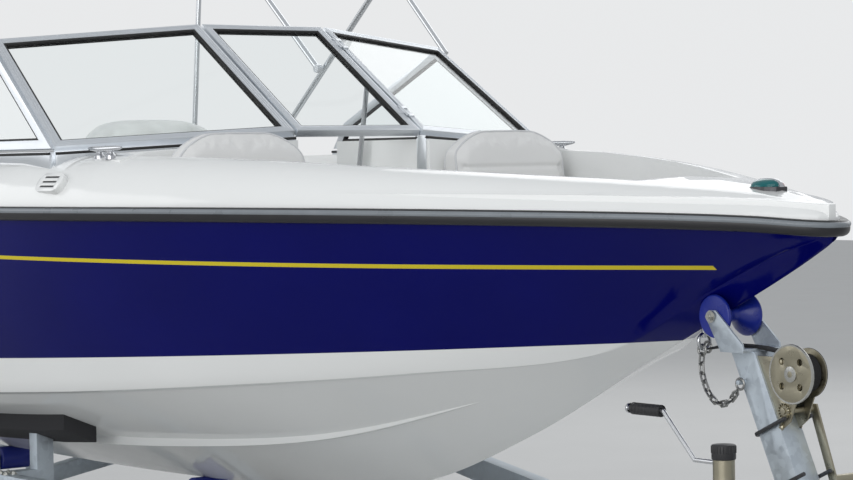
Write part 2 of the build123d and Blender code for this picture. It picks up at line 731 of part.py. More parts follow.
# Fittings on the deck
def cleat_at(s):
    """A horned cleat beside the gunwale's crown, on two feet cut to the deck."""
    y = sheer_half(s) - CLEAT_IN
    bar_z = smooth(DECK_STATIONS, 2, s) + CLEAT_RISE + CLEAT_BAR
    cleat = rod(at(s - CLEAT_LONG / 2, y, bar_z), at(s + CLEAT_LONG / 2, y, bar_z), CLEAT_BAR)
    for foot_s in (s - CLEAT_FEET / 2, s + CLEAT_FEET / 2):
        cleat = cleat + rod(at(foot_s, y, bar_z - 80), at(foot_s, y, bar_z), CLEAT_BAR + 1)
    return max((cleat - deck).solids(), key=lambda piece: piece.center().Z)


save("cleats", Compound([piece for s in (CLEAT_S, STERN_CLEAT_S) for piece in (cleat_at(s), mirrored(cleat_at(s)))]))

light_back = LIGHT_NOSE + LIGHT_LONG
light_plan = ((LIGHT_NOSE, -LIGHT_HALF * 0.5), (LIGHT_NOSE, LIGHT_HALF * 0.5), (LIGHT_NOSE + 26, LIGHT_HALF),
              (light_back - 34, LIGHT_HALF), (light_back, LIGHT_HALF * 0.55), (light_back, -LIGHT_HALF * 0.55),
              (light_back - 34, -LIGHT_HALF), (LIGHT_NOSE + 26, -LIGHT_HALF))
light = plan_plate(light_plan, LIGHT_TOP - 80, LIGHT_TOP)
light = fillet(light.edges().group_by(Axis.Z)[-1], 14)
save("bow_light", light - deck)

# Slotted horn cover on the starboard side of the moulding


def deck_side(s, inboard):
    """A point of the deck's rounded shoulder and its outward direction, by the way in from the sheer."""
    shoulder, gunwale_z = smooth(DECK_STATIONS, 1, s), smooth(DECK_STATIONS, 2, s)
    edge_y, lip_z = sheer_half(s), sheer_z_at(s) + SEAT_GAP + DECK_LIP
    curve = ThreePointArc(Vector(0, edge_y, lip_z), Vector(0, edge_y - 0.36 * shoulder, lip_z + 0.66 * (gunwale_z - lip_z)),
                          Vector(0, edge_y - shoulder, gunwale_z))
    share = min((k / 200 for k in range(201)), key=lambda k: abs(edge_y - inboard - (curve @ k).Y))
    point, run = curve @ share, curve % share
    return at(s, -point.Y, point.Z), Vector(0, -run.Z, -run.Y)


horn_place, horn_out = deck_side(HORN_S, HORN_IN)
horn_lay = Plane(origin=horn_place, x_dir=(1, 0, 0), z_dir=horn_out)
horn = extrude(SlotOverall(HORN_LONG, HORN_HIGH), HORN_THICK) + extrude(SlotOverall(HORN_LONG, HORN_HIGH), -30)
for row in (-1, 0, 1):
    slot = Pos(0, row * HORN_HIGH / 4, HORN_THICK - 3) * extrude(SlotOverall(HORN_SLOT, HORN_SLOT_WIDE), 10)
    horn = horn - slot
horn = horn_lay * horn - deck
save("horn_cover", max(horn.solids(), key=lambda piece: (piece.center() - horn_place).dot(horn_out)))

eye_stem = rod(at(EYE_S, 0, EYE_Z + 10), at(EYE_S, 0, EYE_Z + 120), 7) - hull_outer
eye_stem = min(eye_stem.solids(), key=lambda piece: piece.center().Z)
eye_ring = Solid.make_torus(EYE_RING, EYE_WIRE, Plane(origin=at(EYE_S, 0, EYE_Z), z_dir=(1, 0, 0)))
save("bow_eye", eye_stem + eye_ring)


# Pole beside the walk-through, from its floor to the port window post
pole_low, pole_high = at(2415, 236, BOW_SOLE_Z + SEAT_GAP), at(2268, 236, 1862)
pole_head = base_in + (head_in - base_in) * 0.5 + Vector(0, FRAME_BAR / 2, 0)
pole = rod(pole_low, pole_high, 8) + rod(pole_high, pole_head, 6) - front_frame - deck
save("walkthrough_pole", max(pole.solids(), key=lambda piece: piece.volume))

# Sun-top frame: hinged bows, rear poles and front braces

def turn(station_z, angle, length):
    """A point a length away, at an angle above forward, as (station, z)."""
    s, z = station_z
    return s - length * math.cos(math.radians(angle)), z + length * math.sin(math.radians(angle))


def angle_to(start, end):
    return math.degrees(math.atan2(end[1] - start[1], start[0] - end[0]))


def eye(centre, y, width=EYE_WIDTH, radius=EYE_RADIUS, bore=TOP_PIN + PIN_GAP):
    s, z = centre
    return tube(at(s, y - width / 2, z), at(s, y + width / 2, z), radius, bore)


def pin(centre, y0, y1, radius=TOP_PIN):
    s, z = centre
    return rod(at(s, y0, z), at(s, y1, z), radius)


def bow(foot, top, y, corner):
    """A tube that rises on one side, crosses the boat and comes down on the other."""
    route = [at(foot[0], y, foot[1]), at(top[0], y, top[1]), at(top[0], 0, top[1] + BOW_CROWN),
             at(top[0], -y, top[1]), at(foot[0], -y, foot[1])]
    path = FilletPolyline(*route, radius=[corner, 2500, corner])
    section = Plane(origin=path @ 0, z_dir=path % 0) * Circle(TUBE_RADIUS)
    return sweep(section, path=path)


main_angle = angle_to(TOP_FOOT, TOP_APEX)
main_top = turn(TOP_FOOT, main_angle, MAIN_LENGTH)
rear_foot = turn(TOP_FOOT, main_angle, REAR_HINGE)
rear_angle = angle_to(rear_foot, REAR_TOP)
pole_top = turn(rear_foot, rear_angle, POLE_HINGE)
apex = turn(TOP_FOOT, main_angle, math.dist(TOP_FOOT, TOP_APEX))
eye_reach = EYE_RADIUS - 4

main_bow = bow(turn(TOP_FOOT, main_angle, eye_reach), main_top, MAIN_Y, BOW_CORNER)
rear_bow = bow(turn(rear_foot, rear_angle, eye_reach), REAR_TOP, REAR_Y, BOW_CORNER - (MAIN_Y - REAR_Y))
for side in (1, -1):
    y = side * MAIN_Y
    main_bow = main_bow + eye(TOP_FOOT, y)
    main_bow = main_bow + pin(rear_foot, y, y - side * (MAIN_Y - REAR_Y + EYE_WIDTH / 2))
    main_bow = main_bow + pin(apex, y, y + side * (BRACE_Y - MAIN_Y + EYE_WIDTH / 2))
    rear_bow = rear_bow + eye(rear_foot, side * REAR_Y, EYE_WIDTH)
    rear_bow = rear_bow + pin(pole_top, side * REAR_Y, side * (POLE_Y - EYE_WIDTH / 2))
save("sun_top_main_bow", main_bow)
save("sun_top_rear_bow", rear_bow)


def strut(top, foot, y):
    """A straight tube with an eye at its upper end."""
    angle = angle_to(top, foot)
    start = turn(top, angle, eye_reach)
    s, z = top
    bar = rod(at(start[0], y, start[1]), at(foot[0], y, foot[1]), TUBE_RADIUS - 1)
    knuckle = rod(at(s, y - EYE_WIDTH / 2, z), at(s, y + EYE_WIDTH / 2, z), EYE_RADIUS)
    return bar + knuckle - rod(at(s, y - EYE_WIDTH, z), at(s, y + EYE_WIDTH, z), TOP_PIN + PIN_GAP)


brace = strut(apex, BRACE_FOOT, BRACE_Y)
rear_pole = strut(pole_top, POLE_FOOT, POLE_Y)
save("sun_top_braces", both_sides(brace))
save("sun_top_rear_poles", both_sides(rear_pole))

foot_s, foot_z = TOP_FOOT
ear_y = MAIN_Y + EYE_WIDTH / 2 + EAR_OFF
mount_ear = side_plate(((foot_s - 20, foot_z - 130), (foot_s - 12, foot_z + 12), (foot_s + 12, foot_z + 12),
                        (foot_s + 20, foot_z - 130)), ear_y, ear_y + TOP_EAR)
mount = max((mount_ear - deck).solids(), key=lambda piece: piece.center().Z)
mount = mount + pin(TOP_FOOT, MAIN_Y - EYE_WIDTH / 2, ear_y + 1)
pole_s, pole_z = POLE_FOOT
pole_seat = rod(at(pole_s, POLE_Y, pole_z - 130), at(pole_s, POLE_Y, pole_z - 1), POLE_SEAT) - deck
pole_seat = max(pole_seat.solids(), key=lambda piece: piece.center().Z)
save("sun_top_mounts", Compound([mount, mirrored(mount), pole_seat, mirrored(pole_seat)]))

# Sterndrive: bracket on the transom, yoke that steers, leg that tilts

bracket = block(TRANSOM, BRACKET_FACE, -BRACKET_HALF, BRACKET_HALF, 760, 1085)
for low in (775, 1035):
    bracket = bracket + block(BRACKET_FACE, STEER_S + 30, -34, 34, low, low + 30)
steer_bore = rod(at(STEER_S, 0, 760), at(STEER_S, 0, 1085), TILT_PIN + PIN_GAP)
save("transom_bracket", bracket - steer_bore)

yoke = rod(at(STEER_S, 0, 805 + PIN_GAP), at(STEER_S, 0, 1035 - PIN_GAP), 28)
yoke = yoke + rod(at(STEER_S, 0, 776), at(STEER_S, 0, 1064), TILT_PIN)
yoke = yoke + block(STEER_S - 14, STEER_S + 14, -YOKE_OUTER, YOKE_OUTER, 870, 970)
for side in (1, -1):
    y0, y1 = sorted((side * YOKE_INNER, side * YOKE_OUTER))
    arm = side_plate(((STEER_S - 14, 785), (STEER_S - 14, 970), (TILT_S + 40, 970), (TILT_S + 40, 870),
                      (STEER_S + 50, 850), (STEER_S + 50, 785)), y0, y1)
    yoke = yoke + arm - rod(at(TILT_S, y0, TILT_Z), at(TILT_S, y1, TILT_Z), TILT_PIN + PIN_GAP)
    yoke = yoke + pin(TRIM_FOOT, side * YOKE_OUTER, side * (TRIM_Y + 12), TRIM_PIN)
save("steering_yoke", yoke)

case_profile = ((TILT_S, TILT_Z + 58), (5560, 990), (5650, 960), (5660, 880), (5640, 700), (TILT_S + 5, 700),
                (TILT_S - 5, 850))
case = side_plate(case_profile, -CASE_HALF, CASE_HALF)
case = case + rod(at(TILT_S, -CASE_HALF, TILT_Z), at(TILT_S, CASE_HALF, TILT_Z), 45)
case = case + rod(at(TILT_S, -YOKE_OUTER, TILT_Z), at(TILT_S, YOKE_OUTER, TILT_Z), TILT_PIN)
for side in (1, -1):
    case = case + pin(TRIM_EYE, side * CASE_HALF, side * (TRIM_Y + 12), TRIM_PIN)
leg_top = plan_plate(((5415, 0), (5450, 45), (5560, 55), (5650, 10), (5650, -10), (5560, -55), (5450, -45)),
                     PLATE_Z, 702)
plate = plan_plate(((5370, 0), (5430, 70), (5560, 105), (5900, 105), (5900, -105), (5560, -105), (5430, -70)),
                   PLATE_Z, PLATE_Z + 12)
leg_low = plan_plate(((5425, 0), (5470, 28), (5600, 32), (5690, 4), (5690, -4), (5600, -32), (5470, -28)),
                     PROP_Z, PLATE_Z)
torpedo = revolve(make_face(Polyline(at(5390, 0, PROP_Z), at(5410, 0, PROP_Z + 28), at(5480, 0, PROP_Z + 46),
                                     at(5700, 0, PROP_Z + 50), at(PROP_S - 52, 0, PROP_Z + 44),
                                     at(PROP_S - 52, 0, PROP_Z), close=True)),
                  Axis(at(5390, 0, PROP_Z), (1, 0, 0)))
shaft = rod(at(PROP_S - 60, 0, PROP_Z), at(PROP_S + 70, 0, PROP_Z), 12)
skeg = side_plate(((5480, PROP_Z), (5560, SKEG_Z), (5690, SKEG_Z), (5740, PROP_Z)), -7, 7)
save("sterndrive_leg", case + leg_top + plate + leg_low + torpedo + shaft + skeg)

trim_run = math.dist(TRIM_FOOT, TRIM_EYE)
aft_angle = angle_to(TRIM_FOOT, TRIM_EYE)


def along_trim(distance):
    s, z = turn(TRIM_FOOT, aft_angle, distance)
    return at(s, TRIM_Y, z)


barrel = rod(along_trim(12), along_trim(12 + BARREL_LENGTH), BARREL_RADIUS)
barrel = barrel + pin(TRIM_FOOT, TRIM_Y - 12, TRIM_Y + 12, BARREL_RADIUS)
barrel = barrel - pin(TRIM_FOOT, TRIM_Y - 13, TRIM_Y + 13, TRIM_PIN + PIN_GAP)
barrel = barrel - rod(along_trim(60), along_trim(13 + BARREL_LENGTH), TRIM_ROD_RADIUS + PIN_GAP)
save("trim_barrels", both_sides(barrel))
trim_rod = rod(along_trim(80), along_trim(trim_run - 20), TRIM_ROD_RADIUS)
trim_rod = trim_rod + eye(TRIM_EYE, TRIM_Y, 22, TRIM_EYE_RADIUS, TRIM_EYE_BORE)
save("trim_rods", both_sides(trim_rod))

# Propeller: hub and three raked blades
prop_hub = revolve(make_face(Polyline(at(PROP_S - 48, 0, PROP_Z + 12.4), at(PROP_S - 48, 0, PROP_Z + 44),
                                      at(PROP_S + 50, 0, PROP_Z + 38), at(PROP_S + 50, 0, PROP_Z + 12.4), close=True)),
                   Axis(at(PROP_S, 0, PROP_Z), (1, 0, 0)))
prop_nut = revolve(make_face(Polyline(at(PROP_S + 50, 0, PROP_Z + 12.4), at(PROP_S + 50, 0, PROP_Z + 20),
                                      at(DRIVE_END, 0, PROP_Z + 12), at(DRIVE_END, 0, PROP_Z),
                                      at(PROP_S + 71, 0, PROP_Z), at(PROP_S + 71, 0, PROP_Z + 12.4), close=True)),
                   Axis(at(PROP_S, 0, PROP_Z), (1, 0, 0)))
prop_centre = at(PROP_S, 0, PROP_Z)
propeller = prop_hub + prop_nut
blade_flat = make_face(Polyline((36, -38), (PROP_RADIUS * 0.6, -72), (PROP_RADIUS * 0.93, -52), (PROP_RADIUS, 0),
                                (PROP_RADIUS * 0.9, 48), (PROP_RADIUS * 0.55, 58), (36, 36), close=True))
for k in range(3):
    spin = k * 2 * math.pi / 3
    lay = Plane(origin=prop_centre, x_dir=(0, math.cos(spin), math.sin(spin)), z_dir=(1, 0, 0))
    blade = lay * (Rot(32, 0, 0) * extrude(blade_flat, 3, both=True))
    propeller = propeller + blade
save("propeller", propeller)

# Trailer frame

def beam(start, end, wide, high):
    """A level rectangular bar between two (station, y) points, its top at FRAME_TOP."""
    (s0, y0), (s1, y1) = start, end
    length = math.dist(start, end)
    across = ((y0 - y1) / length * wide / 2, (s1 - s0) / length * wide / 2)
    points = [(s0 + across[0], y0 + across[1]), (s1 + across[0], y1 + across[1]),
              (s1 - across[0], y1 - across[1]), (s0 - across[0], y0 - across[1])]
    return plan_plate(points, FRAME_TOP - high, FRAME_TOP)


side_rail = block(RAIL_FRONT, RAIL_BACK, RAIL_Y - RAIL_WIDE / 2, RAIL_Y + RAIL_WIDE / 2, UNDER, FRAME_TOP)
leg = beam((RAIL_FRONT + 30, RAIL_Y), (LEG_MEET - 40, 30), RAIL_WIDE, RAIL_HIGH)
leg_room = block(LEG_MEET - 60, RAIL_FRONT - SEAT_GAP, 0, 900, FRAME_TOP - 200, FRAME_TOP + 50)
tongue = block(COUPLER_NOSE + COUPLER_LONG, LEG_MEET, -TONGUE_WIDE / 2, TONGUE_WIDE / 2, UNDER, FRAME_TOP)
clamp = block(JACK_S - 40, JACK_S + 40, JACK_Y + 10, -TONGUE_WIDE / 2 + 5, UNDER + 10, FRAME_TOP - 10)
clamp = clamp + rod(at(JACK_S, JACK_Y, UNDER + 10), at(JACK_S, JACK_Y, FRAME_TOP - 10), 37)
clamp = clamp - rod(at(JACK_S, JACK_Y, UNDER), at(JACK_S, JACK_Y, FRAME_TOP), JACK_TUBE + SEAT_GAP)
save("drawbar", tongue + (leg & leg_room) + mirrored(leg & leg_room) + clamp)


def cross_member(s, half, drop=CROSS_DROP):
    """A tube under the side rails that dips in the middle to clear the keel."""
    top = UNDER - SEAT_GAP
    flat = half - 90
    points = [(-half, top), (-flat, top), (-90, top - drop), (90, top - drop), (flat, top), (half, top),
              (half, top - CROSS_HIGH), (flat + 20, top - CROSS_HIGH), (90, top - drop - CROSS_HIGH),
              (-90, top - drop - CROSS_HIGH), (-flat - 20, top - CROSS_HIGH), (-half, top - CROSS_HIGH)]
    return cross_plate(points, s - 30, s + 30)


rail_out = RAIL_Y + RAIL_WIDE / 2
rail_in = RAIL_Y - RAIL_WIDE / 2
cross_members, rollers = [], []
for s, reach, roller_here in ((1750, 430, False), (2900, rail_out, True), (4300, rail_out, True), (5080, rail_out, True)):
    member = cross_member(s, reach)
    if roller_here:
        axis_z = smooth(HULL_STATIONS, 1, s) - KEEL_ROLLER - 4
        low = UNDER - SEAT_GAP - CROSS_DROP - 5
        pin_half = KEEL_ROLLER_LONG / 2 + 12
        for side in (1, -1):
            y0, y1 = sorted((side * (pin_half - 6), side * pin_half))
            member = member + block(s - 22, s + 22, y0, y1, low, axis_z + 14)
        member = member + rod(at(s, -pin_half - 3, axis_z), at(s, pin_half + 3, axis_z), ROLLER_PIN)
        roller = rod(at(s, -KEEL_ROLLER_LONG / 2, axis_z), at(s, KEEL_ROLLER_LONG / 2, axis_z), KEEL_ROLLER)
        rollers.append(roller - lowered_hull - rod(at(s, -90, axis_z), at(s, 90, axis_z), ROLLER_PIN + PIN_GAP))
    cross_members.append(member)
save("cross_members", Compound(cross_members))

# Bunks that follow the hull's bottom, on posts from the side rails
bunk = block(BUNK_FRONT, BUNK_BACK, BUNK_Y - BUNK_WIDE / 2, BUNK_Y + BUNK_WIDE / 2, 600, 900)
bunk = (bunk - lowered_hull) & (Pos(0, 0, -BUNK_THICK) * hull_outer)
save("bunks", both_sides(max(bunk.solids(), key=lambda piece: piece.volume)))
post_top = Pos(0, 0, -BUNK_THICK - SEAT_GAP) * hull_outer
for s in (2960, 3900, 4860):
    arm = block(s - 25, s + 25, BUNK_Y - 30, rail_in + 5, FRAME_TOP - 50, FRAME_TOP)
    upright = block(s - 25, s + 25, BUNK_Y - 30, BUNK_Y + 30, FRAME_TOP - 50, 850)
    bracket = (arm + upright) - post_top
    side_rail = side_rail + min(bracket.solids(), key=lambda piece: piece.center().Z)

# Axle, springs, wheels and mudguards
axle_z = TYRE_RADIUS
axle = block(AXLE_S - AXLE_SIZE / 2, AXLE_S + AXLE_SIZE / 2, -TRACK_HALF + 70, TRACK_HALF - 70,
             axle_z - AXLE_SIZE / 2, axle_z + AXLE_SIZE / 2)
axle = axle + rod(at(AXLE_S, -TRACK_HALF - 45, axle_z), at(AXLE_S, TRACK_HALF + 45, axle_z), SPINDLE_RADIUS)


def spring_arc(end_z, middle_z):
    """The upper or lower edge of a leaf spring, seen from the side."""
    return ThreePointArc(at(AXLE_S - SPRING_HALF, RAIL_Y - 22, end_z), at(AXLE_S, RAIL_Y - 22, middle_z),
                         at(AXLE_S + SPRING_HALF, RAIL_Y - 22, end_z))


spring_low = spring_arc(axle_z + SPRING_RISE, axle_z + AXLE_SIZE / 2 - 2)
spring_high = spring_arc(axle_z + SPRING_RISE + 20, axle_z + AXLE_SIZE / 2 + 30)
spring_face = make_face(Wire([spring_low, Line(spring_low @ 1, spring_high @ 1), spring_high,
                              Line(spring_high @ 0, spring_low @ 0)]))
spring = extrude(spring_face, 44, dir=(0, 1, 0))
for s in (AXLE_S - SPRING_HALF + 10, AXLE_S + SPRING_HALF - 10):
    hanger = block(s - 20, s + 20, RAIL_Y - 24, RAIL_Y + 24, axle_z + SPRING_RISE, UNDER + 5)
    hanger = hanger - Pos(0, 0, SEAT_GAP) * spring - Pos(0, 0, -SEAT_GAP) * spring
    side_rail = side_rail + max(hanger.solids(), key=lambda piece: piece.center().Z)
save("axle_and_springs", axle + spring + mirrored(spring))
save("side_rails", both_sides(side_rail))

side_out, side_in = TYRE_WIDTH / 2, TYRE_WIDTH / 2 - 12
bead = RIM_RADIUS / math.cos(math.pi / TYRE_STEPS)
tyre_profile = ((bead, -side_in), (RIM_RADIUS + 55, -side_out), (TYRE_RADIUS - 22, -side_out + 6),
                (TYRE_RADIUS, -side_out + 30), (TYRE_RADIUS, side_out - 30), (TYRE_RADIUS - 22, side_out - 6),
                (RIM_RADIUS + 55, side_out), (bead, side_in))
tyre = facet_ring(turned_rows(tyre_profile, TYRE_STEPS))
barrel_rim = Cylinder(RIM_RADIUS - SEAT_GAP, TYRE_WIDTH - 28) - Cylinder(RIM_RADIUS - 14, TYRE_WIDTH)
disc = Pos(0, 0, 22) * (Cylinder(RIM_RADIUS - 10, 8) - Cylinder(52, 20))
for k in range(12):
    disc = disc - Rot(0, 0, 30 * k) * Pos(122, 0, 22) * Cylinder(16, 20)
hub = Pos(0, 0, 8) * (Cylinder(55, 86) + Pos(0, 0, 52) * Cylinder(34, 22)) - Cylinder(SPINDLE_RADIUS + PIN_GAP, 92)
wheel = barrel_rim + disc + hub
for name, side in (("left", 1), ("right", -1)):
    lay = Plane(origin=at(AXLE_S, side * TRACK_HALF, axle_z), x_dir=(1, 0, 0), z_dir=(0, side, 0))
    save("tyre_" + name, lay * tyre)
    save("wheel_" + name, lay * wheel)

guard_out = TYRE_RADIUS + 62
guard_plane = Plane(origin=at(AXLE_S, rail_out + SEAT_GAP, axle_z), x_dir=(1, 0, 0), z_dir=(0, 1, 0))
guard_wide = TRACK_HALF + TYRE_WIDTH / 2 + 20 - rail_out
guard = Pos(0, 0, guard_wide / 2) * (Cylinder(guard_out, guard_wide) - Cylinder(guard_out - 4, guard_wide + 2))
guard_lip = Pos(0, 0, guard_wide - 2) * (Cylinder(guard_out, 4) - Cylinder(guard_out - 26, 8))
guard_web = Pos(0, 0, 2) * (Cylinder(guard_out, 4) - Cylinder(guard_out - 66, 8))
guard = guard_plane * (guard + guard_lip + guard_web)
guard = guard & block(AXLE_S - 400, AXLE_S + 400, 0, 1200, axle_z + 60, 900)
save("mudguards", both_sides(guard))

# Winch post with the bow roller in its head


def in_post(distance, out):
    """A point on the winch post's side, by its way up the post and out from its middle line."""
    run = math.dist(POST_FOOT, POST_HEAD)
    lean_s, lean_z = (POST_HEAD[0] - POST_FOOT[0]) / run, (POST_HEAD[1] - POST_FOOT[1]) / run
    return (POST_FOOT[0] + distance * lean_s + out * lean_z, POST_FOOT[1] + distance * lean_z - out * lean_s)


post_half = POST_WIDE / 2
post = side_plate((in_post(-60, -post_half), in_post(-60, post_half), in_post(600, post_half), in_post(600, -post_half)),
                  -post_half, post_half)
post = post & block(-200, 600, -100, 100, FRAME_TOP + SEAT_GAP, POST_CUT)
head_s = in_post(POST_CUT - FRAME_TOP, 0)[0] + 30
ear_in = ROLLER_LENGTH / 2 + 1
ear_out = ear_in + 6
roller_ear = side_plate(((ROLLER_S - 14, ROLLER_Z + 16), (ROLLER_S + 10, ROLLER_Z + 16), (ROLLER_S + 18, ROLLER_Z - 10),
                         (head_s + 42, POST_CUT), (head_s - 42, POST_CUT), (head_s - 38, POST_CUT + 20)),
                        ear_in, ear_out)
post = post + block(head_s - 42, head_s + 42, -ear_out, ear_out, POST_CUT - 2, POST_CUT + 8)
post = post + roller_ear + mirrored(roller_ear)
post = post + rod(at(ROLLER_S, -ear_out - 4, ROLLER_Z), at(ROLLER_S, ear_out + 4, ROLLER_Z), BOW_ROLLER_PIN)
post = post + pin(CHAIN_STUD, -post_half + 2, -post_half - 26, STUD_RADIUS)
save("winch_post", post)

roller_half = ROLLER_LENGTH / 2
roller_profile = Polyline((BOW_ROLLER_PIN + PIN_GAP, -roller_half), (ROLLER_RADIUS - 3, -roller_half),
                          (ROLLER_RADIUS, -roller_half + 6), (ROLLER_RADIUS - 5, -roller_half + 14),
                          (ROLLER_WAIST + 4, -14), (ROLLER_WAIST, 0), (ROLLER_WAIST + 4, 14),
                          (ROLLER_RADIUS - 5, roller_half - 14), (ROLLER_RADIUS, roller_half - 6),
                          (ROLLER_RADIUS - 3, roller_half), (BOW_ROLLER_PIN + PIN_GAP, roller_half), close=True)
roller_lay = Plane(origin=at(ROLLER_S, 0, ROLLER_Z), x_dir=(1, 0, 0), z_dir=(0, 1, 0))
bow_roller = roller_lay * revolve(Plane.XZ * make_face(roller_profile), Axis.Z)
save("rollers", Compound(rollers + [bow_roller - lowered_hull]))

# Winch: two cheek plates, a drum with its gear, a crank
plate_outline = ((WINCH_S + 60, WINCH_Z + 40), (WINCH_S + 130, WINCH_Z + 40), (WINCH_S + 50, WINCH_Z - 150),
                 (WINCH_S + 10, WINCH_Z - 120), (WINCH_S - 30, WINCH_Z - 20), (WINCH_S - 20, WINCH_Z + 25))
winch_plate = side_plate(plate_outline, WINCH_PLATE, WINCH_PLATE + 4) - post
winch_plate = max(winch_plate.solids(), key=lambda piece: piece.volume)
winch_centre = (WINCH_S, WINCH_Z)
winch_frame = winch_plate + mirrored(winch_plate)
winch_frame = winch_frame + pin(winch_centre, -WINCH_PLATE - 16, WINCH_PLATE + 8, WINCH_PIN)
winch_frame = winch_frame + pin(WINCH_SHAFT, -WINCH_PLATE - 14, WINCH_PLATE + 40, WINCH_PIN)
crank_y = WINCH_PLATE + 36
shaft_s, shaft_z = WINCH_SHAFT
winch_crank = side_plate(((shaft_s - 14, shaft_z + 12), (shaft_s + 14, shaft_z + 12), (shaft_s - 60, shaft_z - 190),
                          (shaft_s - 84, shaft_z - 184)), crank_y, crank_y + 6)
winch_crank = winch_crank + pin((shaft_s - 70, shaft_z - 176), crank_y, crank_y + 110, 13)
drum_lay = Plane(origin=at(WINCH_S, 0, WINCH_Z), x_dir=(1, 0, 0), z_dir=(0, 1, 0))
drum = Cylinder(DRUM_RADIUS, 2 * WINCH_PLATE - 2) + Pos(0, 0, -WINCH_PLATE + 3) * Cylinder(DRUM_FLANGE, 4)
drum = drum + Pos(0, 0, WINCH_PLATE - 3) * Cylinder(DRUM_FLANGE, 4)
gear = Pos(0, 0, -WINCH_PLATE - 9) * Cylinder(GEAR_RADIUS, 6)
for k in range(4):
    gear = gear - Rot(0, 0, 45 + 90 * k) * Pos(44, 0, -WINCH_PLATE - 9) * Cylinder(9, 8)
drum_bore = Cylinder(WINCH_PIN + PIN_GAP, 200)
save("winch", Compound([winch_frame + winch_crank, drum_lay * (drum - drum_bore), drum_lay * (gear - drum_bore)]))

# Strap from the drum over the post's head to a ring in the bow eye
hook_z = EYE_Z - math.sqrt(EYE_RING ** 2 - HOOK_Y ** 2)
strap_ring = (EYE_S - 4, hook_z + 3)
strap_end = (strap_ring[0] - HOOK_RING - HOOK_WIRE - SEAT_GAP, strap_ring[1] + 2)
strap_coil = Cylinder(STRAP_COIL, STRAP_WIDE) - Cylinder(DRUM_RADIUS + SEAT_GAP, STRAP_WIDE + 2)
strap_z = POST_CUT + 8 + SEAT_GAP + STRAP_THICK
strap_route = ((WINCH_S, WINCH_Z + STRAP_COIL), (head_s - 42, strap_z), (head_s + 42, strap_z), strap_end)
strap_under = tuple((s, z - STRAP_THICK) for s, z in strap_route[::-1])
strap_run = side_plate(strap_route + strap_under, -STRAP_WIDE / 2, STRAP_WIDE / 2)
save("winch_strap", drum_lay * strap_coil + strap_run)

# Safety chain from the bow eye to a stud on the post, with a ring at each end
eye_ring_z = hook_z + EYE_WIRE + HOOK_WIRE + HOOK_PLAY - HOOK_RING
chain_start = (EYE_S, eye_ring_z - HOOK_RING + HOOK_WIRE)
stud_ring = (CHAIN_STUD[0], CHAIN_STUD[1] + STUD_RADIUS + SEAT_GAP - HOOK_RING + HOOK_WIRE)
chain_route = (chain_start, (461, 1080), (452, 1052), (438, 1029), (422, 1010), (405, 997), (387, 988), (368, 984),
               (348, 986), (328, 993), (309, 1005), (294, 1019), (stud_ring[0] + 6, stud_ring[1] - 8))
stud_y = -post_half - 16


def on_route(distance):
    """A point of the chain's route, its breadth running evenly from the eye to the stud."""
    y = -HOOK_Y + (stud_y + HOOK_Y) * distance / chain_length
    for start, end in zip(chain_route, chain_route[1:]):
        run = math.dist(start, end)
        if distance <= run:
            break
        distance -= run
    share = distance / run
    return at(start[0] + (end[0] - start[0]) * share, y, start[1] + (end[1] - start[1]) * share)


def chain_link(pitch):
    """One link: six-sided wire round a long outline, its ends in three straight pieces."""
    inside = pitch / 2 + SEAT_GAP - CHAIN_BEND + CHAIN_WIRE
    reach = CHAIN_BEND / math.cos(math.pi / 8)
    corners = []
    for turned in (-67.5, -22.5, 22.5, 67.5, 112.5, 157.5, 202.5, 247.5):
        shift = inside if turned < 90 else -inside
        angle = math.radians(turned)
        corners.append((shift + reach * math.cos(angle), reach * math.sin(angle)))
    return facet_ring(mitred_rows(corners, round_section(CHAIN_WIRE, LINK_SIDES)))


chain_length = sum(math.dist(a, b) for a, b in zip(chain_route, chain_route[1:]))
chain_pitch = chain_length / CHAIN_LINKS
link = chain_link(chain_pitch)
links = []
for k in range(CHAIN_LINKS):
    link_start, link_end = on_route(k * chain_pitch), on_route((k + 1) * chain_pitch)
    heading = (link_end - link_start).normalized()
    across = heading.cross(Vector(0, 1, 0)).normalized()
    lay = Plane(origin=(link_start + link_end) / 2, x_dir=heading, z_dir=across.cross(heading) if k % 2 else across)
    links.append(lay * link)
rings = [Plane(origin=at(s, y, z), x_dir=(1, 0, 0), z_dir=(0, 1, 0)) * wire_ring(HOOK_RING, HOOK_WIRE)
         for s, y, z in ((EYE_S, -HOOK_Y, eye_ring_z),
                         (stud_ring[0], stud_y, stud_ring[1]), (strap_ring[0], HOOK_Y, strap_ring[1]))]
save("safety_chain", Compound(links + rings))

# Coupler
coupler_end = COUPLER_NOSE + COUPLER_LONG - SEAT_GAP
coupler = side_plate(((COUPLER_NOSE, UNDER), (COUPLER_NOSE, FRAME_TOP + 10), (COUPLER_NOSE + 30, FRAME_TOP + 32),
                      (COUPLER_NOSE + 110, FRAME_TOP + 32), (coupler_end, FRAME_TOP), (coupler_end, UNDER)), -42, 42)
ball_s = COUPLER_NOSE + 55
coupler = coupler - rod(at(ball_s, 0, UNDER - 20), at(ball_s, 0, UNDER + SOCKET_DEPTH), BALL_RADIUS + 0.5)
lever = side_plate(((ball_s, FRAME_TOP + 30), (ball_s, FRAME_TOP + 60), (COUPLER_NOSE + 200, FRAME_TOP + 88),
                    (COUPLER_NOSE + 205, FRAME_TOP + 76), (COUPLER_NOSE + 100, FRAME_TOP + 30)), -16, 16)
save("coupler", coupler + lever)

